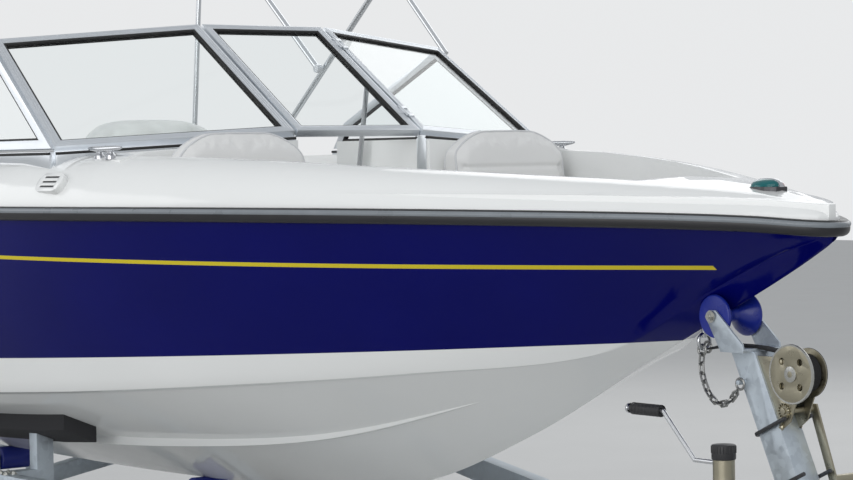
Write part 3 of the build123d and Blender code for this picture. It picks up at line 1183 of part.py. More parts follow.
# Jack: a tube clamped to the drawbar, its crank, and the leg that slides in it
cap_low = JACK_TOP - 38
jack_tube = rod(at(JACK_S, JACK_Y, JACK_TUBE_LOW), at(JACK_S, JACK_Y, cap_low - SEAT_GAP), JACK_TUBE)
crank_z = cap_low - 10
crank_line = (at(JACK_S, JACK_Y, crank_z), at(345, JACK_Y, crank_z), at(460, JACK_Y, 968), at(578, JACK_Y, 968))
for start, end in zip(crank_line, crank_line[1:]):
    jack_tube = jack_tube + rod(start, end, JACK_CRANK) + Pos(end) * Sphere(JACK_CRANK)
jack_tube = jack_tube - rod(at(JACK_S, JACK_Y, JACK_TUBE_LOW), at(JACK_S, JACK_Y, cap_low - 30), JACK_LEG + PIN_GAP)
save("jack_tube", jack_tube)
jack_cap = rod(at(JACK_S, JACK_Y, cap_low), at(JACK_S, JACK_Y, JACK_TOP), JACK_TUBE + 3)
jack_grip = tube(crank_line[2] + Vector(-8, 0, 0), crank_line[3] + Vector(8, 0, 0), 15, JACK_CRANK + SEAT_GAP)
save("jack_cap_and_grip", Compound([jack_cap, jack_grip]))
save("jack_leg", rod(at(JACK_S, JACK_Y, 0), at(JACK_S, JACK_Y, JACK_LEG_TOP), JACK_LEG)
     + rod(at(JACK_S, JACK_Y, 0), at(JACK_S, JACK_Y, 12), 75))

# Rear lamps at the rails' ends
lamp = block(RAIL_BACK + SEAT_GAP, RAIL_BACK + 34, RAIL_Y - 25, RAIL_Y + 185, FRAME_TOP - 90, FRAME_TOP + 10)
save("rear_lamps", both_sides(fillet(lamp.edges().filter_by(Axis.X), 14)))
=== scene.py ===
import math

import bmesh
import bpy
from mathutils import Matrix, Vector
from mathutils.bvhtree import BVHTree
from mathutils.kdtree import KDTree


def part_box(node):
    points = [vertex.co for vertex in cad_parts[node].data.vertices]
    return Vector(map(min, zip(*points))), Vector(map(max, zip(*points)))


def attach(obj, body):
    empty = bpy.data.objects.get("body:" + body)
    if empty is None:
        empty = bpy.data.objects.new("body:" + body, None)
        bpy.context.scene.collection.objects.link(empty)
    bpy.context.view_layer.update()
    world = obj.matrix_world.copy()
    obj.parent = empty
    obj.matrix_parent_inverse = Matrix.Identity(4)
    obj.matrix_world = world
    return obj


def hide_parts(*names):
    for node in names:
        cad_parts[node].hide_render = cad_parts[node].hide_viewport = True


# A bowrider speedboat on its trailer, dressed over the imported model. Metres; +X to the bow, +Y to port.
# A station is the distance aft of the stem head, so x = BOW_X - station.

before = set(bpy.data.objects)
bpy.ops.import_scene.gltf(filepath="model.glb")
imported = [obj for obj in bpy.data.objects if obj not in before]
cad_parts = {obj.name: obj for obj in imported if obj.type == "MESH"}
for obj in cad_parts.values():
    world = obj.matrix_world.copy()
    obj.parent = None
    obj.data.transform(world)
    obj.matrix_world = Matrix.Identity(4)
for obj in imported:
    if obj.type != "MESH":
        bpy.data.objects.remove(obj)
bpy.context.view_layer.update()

BODY = "boat_and_trailer"
LEAF = "walkthrough_window_leaf"
BOW_X = 2.505
TRANSOM = 5.2
FULL_TURN = 2 * math.pi
AHEAD, AFT, PORT, STARBOARD, UP = (1, 0, 0), (-1, 0, 0), (0, 1, 0), (0, -1, 0), (0, 0, 1)
SIDES = (1, -1)
AXIS = 0.0001  # radius of a turned face's innermost ring, which closes it

# Camera: fitted to the photograph's horizon, vanishing lines and the boat's known points
CAMERA_PLACE = (6.767, -4.506, 1.624)
CAMERA_TURN = 52.694
CAMERA_DIP = 1.829
CAMERA_ROLL = 0.966
CAMERA_LENS = 105.03

# Hull form
BEAM_HALF = 1.065
BOW_ROUND = 2.9
BOW_FULLNESS = 2.2
NOSE_RADIUS = 0.06
STERN_TAPER = 0.03
TOPSIDE_BULGE = 0.012
CHINE_FLAT = 0.05
CHINE_DROP = 0.15
HULL_TABLE = (
    # station, keel z, chine half-breadth, chine z, sheer z
    (5.2, 0.560, 0.915, 0.862, 1.488), (4.2, 0.560, 0.925, 0.876, 1.490), (3.2, 0.563, 0.922, 0.908, 1.490),
    (2.4, 0.590, 0.858, 0.951, 1.489), (1.7, 0.663, 0.690, 1.003, 1.487), (1.15, 0.855, 0.455, 1.052, 1.482),
    (0.7, 1.073, 0.150, 1.112, 1.474), (0.38, 1.224, 0.058, 1.278, 1.465), (0.15, 1.334, 0.046, 1.376, 1.454),
    (0.03, 1.398, 0.030, 1.416, 1.443), (0.004, 1.415, 0.010, 1.424, 1.440),
)
DECK_TABLE = (
    # station, shoulder breadth, gunwale z
    (5.2, 0.150, 1.630), (4.2, 0.150, 1.645), (3.2, 0.155, 1.652), (2.4, 0.160, 1.658), (1.7, 0.160, 1.643),
    (1.15, 0.150, 1.609), (0.7, 0.166, 1.577), (0.38, 0.160, 1.551), (0.15, 0.095, 1.524), (0.03, 0.038, 1.490),
    (0.004, 0.012, 1.472),
)
DECK_LIP = 0.022
HULL_WALL = 0.008
HULL_STATIONS = [0.00005, 0.0005, 0.002, 0.005, 0.01, 0.018, 0.03, 0.045, 0.065, 0.09, 0.12]
HULL_STATIONS += [0.16 + 0.04 * k for k in range(126)] + [TRANSOM]
STRAKE_TABLE = (
    # station, breadth of the outer edge, depth
    (0.96, 0.174, 0.005), (1.3, 0.267, 0.017), (1.7, 0.346, 0.027), (2.3, 0.420, 0.034), (2.95, 0.458, 0.037),
    (3.8, 0.466, 0.038), (5.2, 0.462, 0.038),
)
STRAKE_ROWS = 60
BAY_TUB = (4.43, 5.11, 0.38, 0.722, 0.908)
TUB_WALL = 0.005
RAIL_SECTION = (
    # outward of the sheer, height
    (-0.001, 0.0195), (0.006, 0.0205), (0.012, 0.0200), (0.0175, 0.0175), (0.0215, 0.0125), (0.0235, 0.006),
    (0.0240, -0.001), (0.0235, -0.007), (0.021, -0.0135), (0.0165, -0.0180), (0.011, -0.0202),
    (0.006, -0.0205), (-0.001, -0.0200),
)
# A grey bead along the rail's upper half, as its outward offset, height and radius: painted reflection of the sky on
# the glossy black rubber, not a real insert
RAIL_SHEEN_BEAD = (0.0175, 0.0075, 0.0085)

# Windshield: foot and head of the middle pane (station, z), corner posts (station, breadth, z), after ends
PANE_BAR = 0.026
PANE_DEPTH = 0.024
PANE_GAP = 0.009
PANE_CENTRE_HALF = 0.232
PANE_BASE = (1.987, 1.712)
PANE_TOP = (2.521, 2.062)
PANE_CORNER = (2.230, 0.930, 1.676)
PANE_CORNER_TOP = (0.872, 2.013)
PANE_AFT = (3.420, 0.925, 1.676)
PANE_AFT_TOP = (3.330, 1.768)

# Upholstery: heights and stations of its solids, and the size of the simulated mesh
BOW_BENCH = 1.290
BOW_BACK_LOW = 1.385
BOW_BACK_TOP = 1.722
BOW_BACK_FRONT = (1.815, 1.870)
BOW_BACK_REAR = (1.9547, 1.930)
BOW_BACK_Y = (0.264, 0.745)
HELM_SEAT_S = 3.120
HELM_SEAT_Y = 0.470
HELM_SEAT_TOP = 1.290
STERN_SEAT = (3.865, 4.235, 0.760, 1.190)
STERN_BACK_TOP = 1.632
STERN_BACK_FRONT = (4.250, 4.298)
STERN_BACK_REAR = 4.322
STERN_ROOM = (4.236, 4.3297)
STERN_CHANNELS = (-0.5, -0.25, 0, 0.25, 0.5)
SUN_PAD = (4.400, 5.080, 0.580, 1.6333, 1.703)
PAD_INSET = 0.008
PAD_VOXEL = 0.011
PAD_VOXEL_FINE = 0.008
CLOTH_FRAMES = 20
CHANNEL_DEPTH = 0.006
CHANNEL_WIDTH = 0.007
PIPING = 0.0035

# Cockpit and helm
SOLE_TOP = 0.905
SOLE_LOW = 0.890
SOLE_HALF = 0.838
SKIN_Z = 0.885
SKIN_CLEARANCE = 0.035
HELM_Y = -0.470
DASH_S = 2.5155
HOOD_EDGE = 1.62
HOOD_LOW = 1.602
DIALS = (
    # y from the helm's middle, z, radius
    (-0.075, 1.655, 0.041), (0.075, 1.655, 0.041), (-0.15, 1.60, 0.026), (0.15, 1.60, 0.026),
    (0.0, 1.69, 0.024), (0.0, 1.60, 0.024),
)
STEERING_CENTRE = (2.645, 1.450)
STEERING_RAKE = math.radians(28)
STEERING_RADIUS = 0.175

# Fittings and wheels
LAMP_S = 0.224
LAMP_FOOT_TOP = 1.5425
HORN_S = 2.164
HORN_IN = 0.032
CLEAT_STATIONS = (2.060, 4.700)
CLEAT_IN = 0.137
AXLE_S = 3.620
TRACK_HALF = 0.893
TYRE_RADIUS = 0.295
NUT_RING = 0.040

# Winch, jack, propeller and trailer
DRUM = (0.112, 1.076)
PINION = (0.140, 0.982)
POST_FOOT = (0.055, 0.640)
POST_HEAD = (0.306, 1.176)
WEB_HALF = 0.0188
JACK_S = 0.240
JACK_Y = -0.150
GRIP_END = 0.586
GRIP_Z = 0.968
SCREW_PLACE = (5.850, 0, 0.340)
SCREW_PITCH = 0.40
PLATFORM_EDGE = ((5.205, 0.7615), (5.50, 0.7615), (5.6205, 0.621))
ENGINE_COVER = (4.52, 4.53, 4.91, 4.92)
TUBE_TOP = 0.6402
RAIL_Y = 0.76

# Painted bands on the topsides
BOOT_Z = 1.0443
BOOT_SLOPE = 0.048
STRIPE_Z = 1.3575
STRIPE_SLOPE = -0.0082
STRIPE_HALF = 0.0055
STRIPE_END_X = 2.194

GELCOAT_WHITE = (0.80, 0.81, 0.80)
HULL_BLUE = (0.001, 0.002, 0.095)
STRIPE_YELLOW = (0.62, 0.50, 0.03)


# ---- the boat's own curves

def sheer_half(s):
    """Half-breadth at the rub rail: a pointed bow with a rounded nose."""
    s = max(s, 0)
    ahead = max(0.0, 1 - s / BOW_ROUND)
    aft = max(0.0, (s - BOW_ROUND) / (TRANSOM - BOW_ROUND))
    point = BEAM_HALF * (1 - ahead ** BOW_FULLNESS)
    nose = 2 * NOSE_RADIUS * s * math.exp(-s / (2 * NOSE_RADIUS))
    return math.sqrt(point ** 2 + nose) - STERN_TAPER * aft ** 2


def crest(s):
    """Half-breadth of the gunwale's crest."""
    return sheer_half(s) - smooth(DECK_TABLE, 1, s)


def smooth(rows, column, s):
    """A column of a station table, read between its rows along a smooth curve."""
    table = sorted((row[0], row[column]) for row in rows)
    slopes = []
    for i in range(len(table)):
        (s0, v0), (s1, v1) = table[max(i - 1, 0)], table[min(i + 1, len(table) - 1)]
        slopes.append((v1 - v0) / (s1 - s0))
    s = min(max(s, table[0][0]), table[-1][0])
    i = max(k for k in range(len(table) - 1) if table[k][0] <= s)
    (s0, v0), (s1, v1) = table[i], table[i + 1]
    gap = s1 - s0
    t = (s - s0) / gap
    return ((2 * t ** 3 - 3 * t ** 2 + 1) * v0 + (t ** 3 - 2 * t ** 2 + t) * gap * slopes[i]
            + (3 * t ** 2 - 2 * t ** 3) * v1 + (t ** 3 - t ** 2) * gap * slopes[i + 1])


def at(s, y, z):
    return Vector((BOW_X - s, y, z))


def angles(count):
    return [FULL_TURN * k / count for k in range(count)]


def polar(radius, angle, height=0.0):
    return Vector((radius * math.cos(angle), radius * math.sin(angle), height))


def near(angle, other):
    """The same direction as angle, within half a turn of other."""
    return angle - FULL_TURN * round((angle - other) / FULL_TURN)


def arc_points(start, middle, end, count):
    """Points along the circle through three (y, z) points."""
    (ax, ay), (bx, by), (cx, cy) = start, middle, end
    a2, b2, c2 = ax * ax + ay * ay, bx * bx + by * by, cx * cx + cy * cy
    d = 2 * (ax * (by - cy) + bx * (cy - ay) + cx * (ay - by))
    ux = (a2 * (by - cy) + b2 * (cy - ay) + c2 * (ay - by)) / d
    uy = (a2 * (cx - bx) + b2 * (ax - cx) + c2 * (bx - ax)) / d
    radius = math.hypot(ax - ux, ay - uy)
    first, mid, last = (math.atan2(y - uy, x - ux) for x, y in (start, middle, end))
    last = near(last, near(mid, first))
    turned = [first + (last - first) * k / count for k in range(count + 1)]
    return [(ux + radius * math.cos(a), uy + radius * math.sin(a)) for a in turned]


# ---- materials

def add(tree, kind, inputs=(), **settings):
    """A new node; each input is linked to a socket or set to a value."""
    node = tree.nodes.new(kind)
    for setting, value in settings.items():
        setattr(node, setting, value)
    for name, value in dict(inputs).items():
        feed(tree, node.inputs[name], value)
    return node


def feed(tree, socket, value):
    if isinstance(value, bpy.types.NodeSocket):
        tree.links.new(value, socket)
    else:
        socket.default_value = value


def maths(tree, operation, *values):
    return add(tree, "ShaderNodeMath", enumerate(values), operation=operation).outputs["Value"]


def shade(colour, share):
    return tuple(c * share for c in colour)


class Look:
    """A material whose textures lie in the object's own coordinates."""

    def __init__(self, name, colour, roughness, metallic=0.0):
        self.material = bpy.data.materials.new(name)
        self.material.use_nodes = True
        self.tree = self.material.node_tree
        self.shader = self.tree.nodes["Principled BSDF"]
        self.place = add(self.tree, "ShaderNodeTexCoord").outputs["Object"]
        self.give("Base Color", (*colour, 1))
        self.give("Roughness", roughness)
        self.give("Metallic", metallic)

    def give(self, name, value):
        feed(self.tree, self.shader.inputs[name], value)

    def maths(self, operation, *values):
        return maths(self.tree, operation, *values)

    def axes(self):
        return add(self.tree, "ShaderNodeSeparateXYZ", {"Vector": self.place}).outputs

    def noise(self, scale, detail=3.0, rough=0.5):
        inputs = {"Vector": self.place, "Scale": scale, "Detail": detail, "Roughness": rough}
        return add(self.tree, "ShaderNodeTexNoise", inputs).outputs["Fac"]

    def spread(self, value, low, high, from_low=0.3, from_high=0.7):
        inputs = {"Value": value, "From Min": from_low, "From Max": from_high, "To Min": low, "To Max": high}
        return add(self.tree, "ShaderNodeMapRange", inputs).outputs["Result"]

    def tint(self, factor, *colours):
        a, b = ((*c, 1) if isinstance(c, tuple) else c for c in colours)
        inputs = {"Factor": factor, "A": a, "B": b}
        return add(self.tree, "ShaderNodeMix", inputs, data_type="RGBA").outputs["Result"]

    def bump(self, height, distance, strength):
        inputs = {"Height": height, "Distance": distance, "Strength": strength}
        self.give("Normal", add(self.tree, "ShaderNodeBump", inputs).outputs["Normal"])


def gelcoat(name, colour):
    """Moulded gelcoat: glossy, faintly uneven in gloss, with a clear top."""
    look = Look(name, colour, 0.16)
    haze = look.noise(3.0, 4.0)
    look.give("Roughness", look.spread(haze, 0.11, 0.24))
    look.give("Base Color", look.tint(haze, shade(colour, 0.97), colour))
    look.give("Coat Weight", 0.4)
    look.give("Coat Roughness", 0.06)
    look.bump(look.noise(45.0, 2.0), 0.0004, 0.15)
    return look.material


def hull_paint():
    """White bottom, blue topsides above a straight boot line, and one thin yellow stripe."""
    look = Look("hull_paint", HULL_BLUE, 0.1)
    axes = look.axes()
    x, z = axes["X"], axes["Z"]
    blue = look.maths("GREATER_THAN", z, look.maths("MULTIPLY_ADD", x, BOOT_SLOPE, BOOT_Z))
    stripe_line = look.maths("MULTIPLY_ADD", x, STRIPE_SLOPE, STRIPE_Z)
    off_line = look.maths("ABSOLUTE", look.maths("SUBTRACT", z, stripe_line))
    in_band = look.maths("LESS_THAN", off_line, STRIPE_HALF)
    stripe = look.maths("MULTIPLY", in_band, look.maths("LESS_THAN", x, STRIPE_END_X))
    cloud = look.noise(2.2)
    blue_paint = look.tint(cloud, shade(HULL_BLUE, 0.8), shade(HULL_BLUE, 1.25))
    white_paint = look.tint(cloud, shade(GELCOAT_WHITE, 0.93), GELCOAT_WHITE)
    look.give("Base Color", look.tint(stripe, look.tint(blue, white_paint, blue_paint), STRIPE_YELLOW))
    look.give("Roughness", look.spread(cloud, 0.06, 0.14))
    look.give("Specular IOR Level", 0.12)
    look.bump(look.noise(6.0, 2.0), 0.001, 0.08)
    return look.material


def moulded(name, colour, roughness=0.5, grain=900.0):
    """Moulded plastic or rubber with a fine grain."""
    look = Look(name, colour, roughness)
    cloud = look.noise(14.0, 4.0)
    look.give("Base Color", look.tint(cloud, shade(colour, 0.8), shade(colour, 1.2)))
    look.give("Roughness", look.spread(cloud, roughness - 0.08, roughness + 0.1))
    look.bump(look.noise(grain, 2.0), 0.0003, 0.35)
    return look.material


def metal(name, colour, roughness, fine=160.0, dull=0.1):
    """Bright metal, a little uneven in tone and gloss."""
    look = Look(name, colour, roughness, 1.0)
    streaks = look.noise(fine)
    look.give("Roughness", look.spread(streaks, max(0.03, roughness - dull), roughness + dull))
    look.give("Base Color", look.tint(look.noise(7.0, 4.0), shade(colour, 0.85), colour))
    look.bump(streaks, 0.00005, 0.1)
    return look.material


def jack_finish():
    """Yellow zinc on the jack's tube, bright steel on the crank that stands aft of it."""
    look = Look("jack_zinc", (0.40, 0.37, 0.28), 0.36, 1.0)
    crank = look.maths("LESS_THAN", look.axes()["X"], BOW_X - JACK_S - 0.034)
    cloud = look.noise(18.0, 4.0)
    tube = look.tint(cloud, (0.33, 0.30, 0.22), (0.43, 0.40, 0.31))
    steel = look.tint(cloud, (0.62, 0.63, 0.64), (0.76, 0.77, 0.78))
    look.give("Base Color", look.tint(crank, tube, steel))
    look.give("Roughness", look.spread(cloud, 0.26, 0.44))
    return look.material


def galvanised():
    """Hot-dip zinc: pale spangle crystals under a dull bloom."""
    look = Look("galvanised", (0.42, 0.45, 0.48), 0.45, 0.75)
    crystals = add(look.tree, "ShaderNodeTexVoronoi", {"Vector": look.place, "Scale": 60.0})
    grey = add(look.tree, "ShaderNodeRGBToBW", {"Color": crystals.outputs["Color"]}).outputs["Val"]
    bloom = look.noise(9.0, 5.0, 0.6)
    spangle = look.tint(grey, (0.40, 0.45, 0.50), (0.58, 0.64, 0.69))
    look.give("Base Color", look.tint(look.spread(bloom, 0.0, 0.6), spangle, (0.56, 0.62, 0.67)))
    look.give("Roughness", look.spread(grey, 0.32, 0.6, 0.0, 1.0))
    look.bump(bloom, 0.0008, 0.3)
    return look.material


def vinyl(name, colour):
    """Upholstery vinyl: a fine leather grain and a soft sheen."""
    look = Look(name, colour, 0.5)
    grain = add(look.tree, "ShaderNodeTexVoronoi", feature="DISTANCE_TO_EDGE")
    feed(look.tree, grain.inputs["Vector"], look.place)
    feed(look.tree, grain.inputs["Scale"], 520.0)
    cloud = look.noise(5.0, 4.0)
    look.give("Base Color", look.tint(cloud, shade(colour, 0.93), colour))
    look.give("Roughness", look.spread(cloud, 0.42, 0.56))
    look.give("Sheen Weight", 0.1)
    look.bump(look.spread(grain.outputs["Distance"], 0.0, 1.0, 0.0, 0.12), 0.0004, 0.35)
    return look.material


def clear(name, colour, roughness, transmission, gloss, scale=30.0):
    """Glass or lens: light passes through by the given share, and gloss is the range of its roughness."""
    look = Look(name, colour, roughness)
    look.give("Transmission Weight", transmission)
    look.give("Roughness", look.spread(look.noise(scale), *gloss))
    return look


def screen_glass():
    look = clear("screen_glass", (0.95, 0.98, 0.98), 0.02, 1.0, (0.0, 0.04), 4.0)
    look.give("IOR", 1.12)
    return look.material


def lens(name, colour):
    return clear(name, colour, 0.1, 0.35, (0.05, 0.16)).material


def webbing():
    """Crossed threads."""
    colour = (0.02, 0.02, 0.022)
    look = Look("strap_webbing", colour, 0.85)
    waves = [add(look.tree, "ShaderNodeTexWave", {"Vector": look.place, "Scale": 700.0}, bands_direction=way)
             for way in ("Y", "DIAGONAL")]
    threads = look.maths("MULTIPLY", *(wave.outputs["Fac"] for wave in waves))
    look.give("Base Color", look.tint(threads, shade(colour, 0.6), shade(colour, 1.3)))
    look.bump(threads, 0.0006, 0.5)
    return look.material


def carpet(name, colour):
    look = Look(name, colour, 0.95)
    fuzz = look.noise(800.0, 2.0)
    look.give("Base Color", look.tint(fuzz, shade(colour, 0.5), shade(colour, 1.5)))
    look.bump(fuzz, 0.002, 0.8)
    return look.material


WHITE = gelcoat("white_gelcoat", GELCOAT_WHITE)
HULL = hull_paint()
RAIL_BLACK = moulded("rail_black", (0.012, 0.012, 0.014), 0.35)
# Grey of the rail's upper bead: painted sky reflection on the black rubber
RAIL_SHEEN_GREY = moulded("rail_painted_sheen", (0.19, 0.21, 0.23), 0.3)
BLACK = moulded("black_plastic", (0.018, 0.018, 0.02), 0.45)
GASKET = moulded("glazing_rubber", (0.01, 0.01, 0.01), 0.6)
ANODISED = metal("anodised_aluminium", (0.80, 0.83, 0.86), 0.36, 420.0, 0.05)
TUBE = metal("bright_tube", (0.78, 0.80, 0.82), 0.22, 300.0, 0.05)
STAINLESS = metal("polished_stainless", (0.62, 0.63, 0.65), 0.12, dull=0.06)
ZINC = metal("zinc_plate", (0.52, 0.52, 0.49), 0.32)
WINCH_ZINC = metal("yellow_zinc", (0.40, 0.37, 0.28), 0.38, 60.0, 0.12)
CHAIN_ZINC = metal("chain_zinc", (0.33, 0.33, 0.32), 0.34)
DARK_STEEL = metal("dark_steel", (0.10, 0.10, 0.105), 0.45)
GALVANISED = galvanised()
JACK_ZINC = jack_finish()
VINYL = vinyl("white_vinyl", (0.79, 0.79, 0.78))
VINYL_TRIM = vinyl("piping_vinyl", (0.66, 0.67, 0.68))
GLASS = screen_glass()
DRIVE = moulded("drive_paint", (0.016, 0.017, 0.019), 0.28, 300.0)
ENGINE = moulded("engine_paint", (0.05, 0.052, 0.058), 0.4, 300.0)
ROLLER_BLUE = moulded("roller_blue", (0.008, 0.02, 0.24), 0.3, 400.0)
CARPET = carpet("bunk_carpet", (0.03, 0.03, 0.033))
NON_SKID = moulded("non_skid", (0.66, 0.67, 0.66), 0.6, 260.0)
MAT = carpet("mat_pile", (0.16, 0.17, 0.19))
RUBBER_GRIP = moulded("wheel_grip", (0.022, 0.022, 0.024), 0.55, 700.0)
TYRE = moulded("tyre_rubber", (0.016, 0.016, 0.017), 0.75, 500.0)
RIM = metal("wheel_silver", (0.62, 0.63, 0.64), 0.35)
WEBBING = webbing()
LENS_RED = lens("red_lens", (0.5, 0.01, 0.01))
LENS_GREEN = lens("green_lens", (0.0, 0.16, 0.17))
LENS_AMBER = lens("amber_lens", (0.7, 0.25, 0.01))
DASH = moulded("dash_moulding", (0.78, 0.78, 0.77), 0.35, 600.0)

NODE_FINISH = (
    (HULL, "hull_shell"),
    (WHITE, "deck_and_liner seat_boxes engine_hatch swim_platform horn_cover"),
    (RAIL_BLACK, "rub_rail"),
    (ANODISED, "windshield_frame walkthrough_window"),
    (GLASS, "windshield_glass walkthrough_glass"),
    (VINYL, "bow_seats helm_seats stern_seat sun_pad"),
    (DASH, "helm_dash"),
    (BLACK, "steering_wheel mudguards jack_cap_and_grip"),
    (ENGINE, "engine"),
    (STAINLESS, "cleats bow_light bow_eye walkthrough_pole sun_top_mounts trim_rods propeller"),
    (TUBE, "sun_top_main_bow sun_top_rear_bow sun_top_braces sun_top_rear_poles"),
    (DRIVE, "transom_bracket steering_yoke sterndrive_leg trim_barrels"),
    (GALVANISED, "side_rails drawbar cross_members axle_and_springs winch_post jack_leg"),
    (ROLLER_BLUE, "rollers"),
    (CARPET, "bunks"),
    (TYRE, "tyre_left tyre_right"),
    (RIM, "wheel_left wheel_right"),
    (WINCH_ZINC, "winch"),
    (WEBBING, "winch_strap"),
    (CHAIN_ZINC, "safety_chain"),
    (ZINC, "coupler"),
    (JACK_ZINC, "jack_tube"),
    (LENS_RED, "rear_lamps"),
)
for material, nodes in NODE_FINISH:
    for node in nodes.split():
        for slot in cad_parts[node].material_slots:
            slot.material = material


# ---- making pieces

def ride_along(piece, body=BODY, replaces=()):
    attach(piece, body)
    for node in replaces:
        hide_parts(node)
    return piece


def shade_edges(mesh, angle):
    mesh.shade_smooth()
    mesh.set_sharp_from_angle(angle=math.radians(angle))


def make_object(name, data):
    piece = bpy.data.objects.new(name, data)
    bpy.context.scene.collection.objects.link(piece)
    return piece


def make_mesh(name, points, faces, materials, angle=35, which=None, outward=False):
    """A mesh object from points and faces; which gives each face's material."""
    mesh = bpy.data.meshes.new(name)
    mesh.from_pydata([tuple(p) for p in points], [], faces)
    for material in materials:
        mesh.materials.append(material)
    if which:
        for face, index in zip(mesh.polygons, which):
            face.material_index = index
    if outward:
        form = bmesh.new()
        form.from_mesh(mesh)
        bmesh.ops.recalc_face_normals(form, faces=form.faces)
        form.to_mesh(mesh)
        form.free()
    mesh.validate()
    shade_edges(mesh, angle)
    return make_object(name, mesh)


def bake_modifiers(piece, angle=35):
    """The piece's modifiers turned into plain mesh."""
    bpy.context.view_layer.update()
    shaped = bpy.data.meshes.new_from_object(piece.evaluated_get(bpy.context.evaluated_depsgraph_get()))
    piece.modifiers.clear()
    piece.data = shaped
    shade_edges(shaped, angle)
    return piece


def bevel(piece, width, segments=2):
    edges = piece.modifiers.new("edges", "BEVEL")
    edges.width = width
    edges.segments = segments
    edges.limit_method = "ANGLE"
    edges.angle_limit = math.radians(35)


def round_edges(piece, width, angle=35, segments=2):
    bevel(piece, width, segments)
    return bake_modifiers(piece, angle)


class Form:
    """Points and faces collected from several simple shapes."""

    def __init__(self):
        self.points, self.faces, self.which = [], [], []

    def grid(self, rows, wrap=False, loop=False, index=0):
        """Faces between rows of points; wrap closes each row, loop joins the last row to the first."""
        base, wide = len(self.points), len(rows[0])
        for row in rows:
            self.points += [Vector(p) for p in row]
        for i in range(len(rows) if loop else len(rows) - 1):
            here, there = base + i * wide, base + (i + 1) % len(rows) * wide
            for j in range(wide if wrap else wide - 1):
                j2 = (j + 1) % wide
                self.faces.append((here + j, here + j2, there + j2, there + j))
                self.which.append(index)
        return base

    def cap(self, base, count, turned=False, index=0):
        ring = tuple(range(base, base + count))
        self.faces.append(ring[::-1] if turned else ring)
        self.which.append(index)

    def sweep(self, sections, index=0, closed=False):
        """A closed tube through sections, with both ends capped unless it is a loop."""
        base = self.grid(sections, wrap=True, loop=closed, index=index)
        if not closed:
            wide = len(sections[0])
            self.cap(base, wide, index=index)
            self.cap(base + wide * (len(sections) - 1), wide, True, index)

    def tube(self, line, radius, sides=12, index=0, closed=False):
        """A round bar along a line of points; radius is one number or one for each point."""
        radii = radius if isinstance(radius, (list, tuple)) else [radius] * len(line)
        line = [Vector(p) for p in line]
        sections, side = [], None
        for i, point in enumerate(line):
            if closed:
                run = (line[(i + 1) % len(line)] - line[i - 1]).normalized()
            else:
                run = (line[min(i + 1, len(line) - 1)] - line[max(i - 1, 0)]).normalized()
            if side is None:
                side = run.orthogonal().normalized()
            side = (side - run * side.dot(run)).normalized()
            other = run.cross(side)
            sections.append([point + (side * math.cos(a) + other * math.sin(a)) * radii[i] for a in angles(sides)])
        self.sweep(sections, index, closed)

    def turned(self, profile, lay, steps=48, index=0, closed=False):
        """A profile of (radius, height) points turned round the Z of lay; closed joins its ends."""
        rows = [[lay @ polar(r, a, h) for r, h in profile] for a in angles(steps)]
        self.grid(rows, wrap=closed, loop=True, index=index)

    def bar(self, corners, lift, index=0):
        """A prism from a flat outline, raised by a vector."""
        base, count = len(self.points), len(corners)
        self.points += [Vector(p) for p in corners] + [Vector(p) + Vector(lift) for p in corners]
        self.cap(base, count, True, index)
        self.cap(base + count, count, False, index)
        for j in range(count):
            k = (j + 1) % count
            self.faces.append((base + j, base + k, base + count + k, base + count + j))
            self.which.append(index)

    def piece(self, name, materials, angle=35):
        return make_mesh(name, self.points, self.faces, materials, angle, self.which, outward=True)

    def show(self, name, materials, angle, slot, body=BODY, replaces=(), edge=0.0):
        """The finished piece on its body, with edges rounded to a width."""
        piece = self.piece(name, materials, angle)
        if edge:
            round_edges(piece, edge)
        return ride_along(piece, body, replaces)


def lay_on(origin, axis, side):
    """A frame at a point, its Z along axis and its X near side."""
    axis, side = Vector(axis).normalized(), Vector(side)
    side = (side - axis * side.dot(axis)).normalized()
    turned = Matrix((side, axis.cross(side), axis)).transposed().to_4x4()
    return Matrix.Translation(Vector(origin)) @ turned


# ---- node trees

SOCKET_KINDS = {int: "Int", float: "Float", tuple: "Vector", type(None): "Material"}


def geometry_tree(name, inputs):
    """A tree with named inputs and their first values; returns it, its inputs and its end."""
    tree = bpy.data.node_groups.new(name, "GeometryNodeTree")
    tree.interface.new_socket("Geometry", in_out="INPUT", socket_type="NodeSocketGeometry")
    for label, value in inputs.items():
        kind = "NodeSocket" + SOCKET_KINDS[type(value)]
        socket = tree.interface.new_socket(label, in_out="INPUT", socket_type=kind)
        if value is not None:
            socket.default_value = value
    tree.interface.new_socket("Geometry", in_out="OUTPUT", socket_type="NodeSocketGeometry")
    return tree, tree.nodes.new("NodeGroupInput").outputs, tree.nodes.new("NodeGroupOutput").inputs["Geometry"]


def grow_by(piece, name, tree, values):
    """A tree as a modifier, with its named inputs set."""
    modifier = piece.modifiers.new(name, "NODES")
    modifier.node_group = tree
    for item in tree.interface.items_tree:
        if item.in_out == "INPUT" and item.name in values:
            modifier[item.identifier] = values[item.name]


def copies_on(tree, points, instance, rotation, finish, end):
    """The tree's last steps: copies on points, realised and given their material."""
    copies = add(tree, "GeometryNodeInstanceOnPoints",
                 {"Points": points, "Instance": instance, "Rotation": rotation})
    real = add(tree, "GeometryNodeRealizeInstances", {"Geometry": copies.outputs["Instances"]})
    shown = add(tree, "GeometryNodeSetMaterial", {"Geometry": real.outputs["Geometry"], "Material": finish})
    feed(tree, end, shown.outputs["Geometry"])


def along_xyz(tree, **parts):
    return add(tree, "ShaderNodeCombineXYZ", parts).outputs["Vector"]


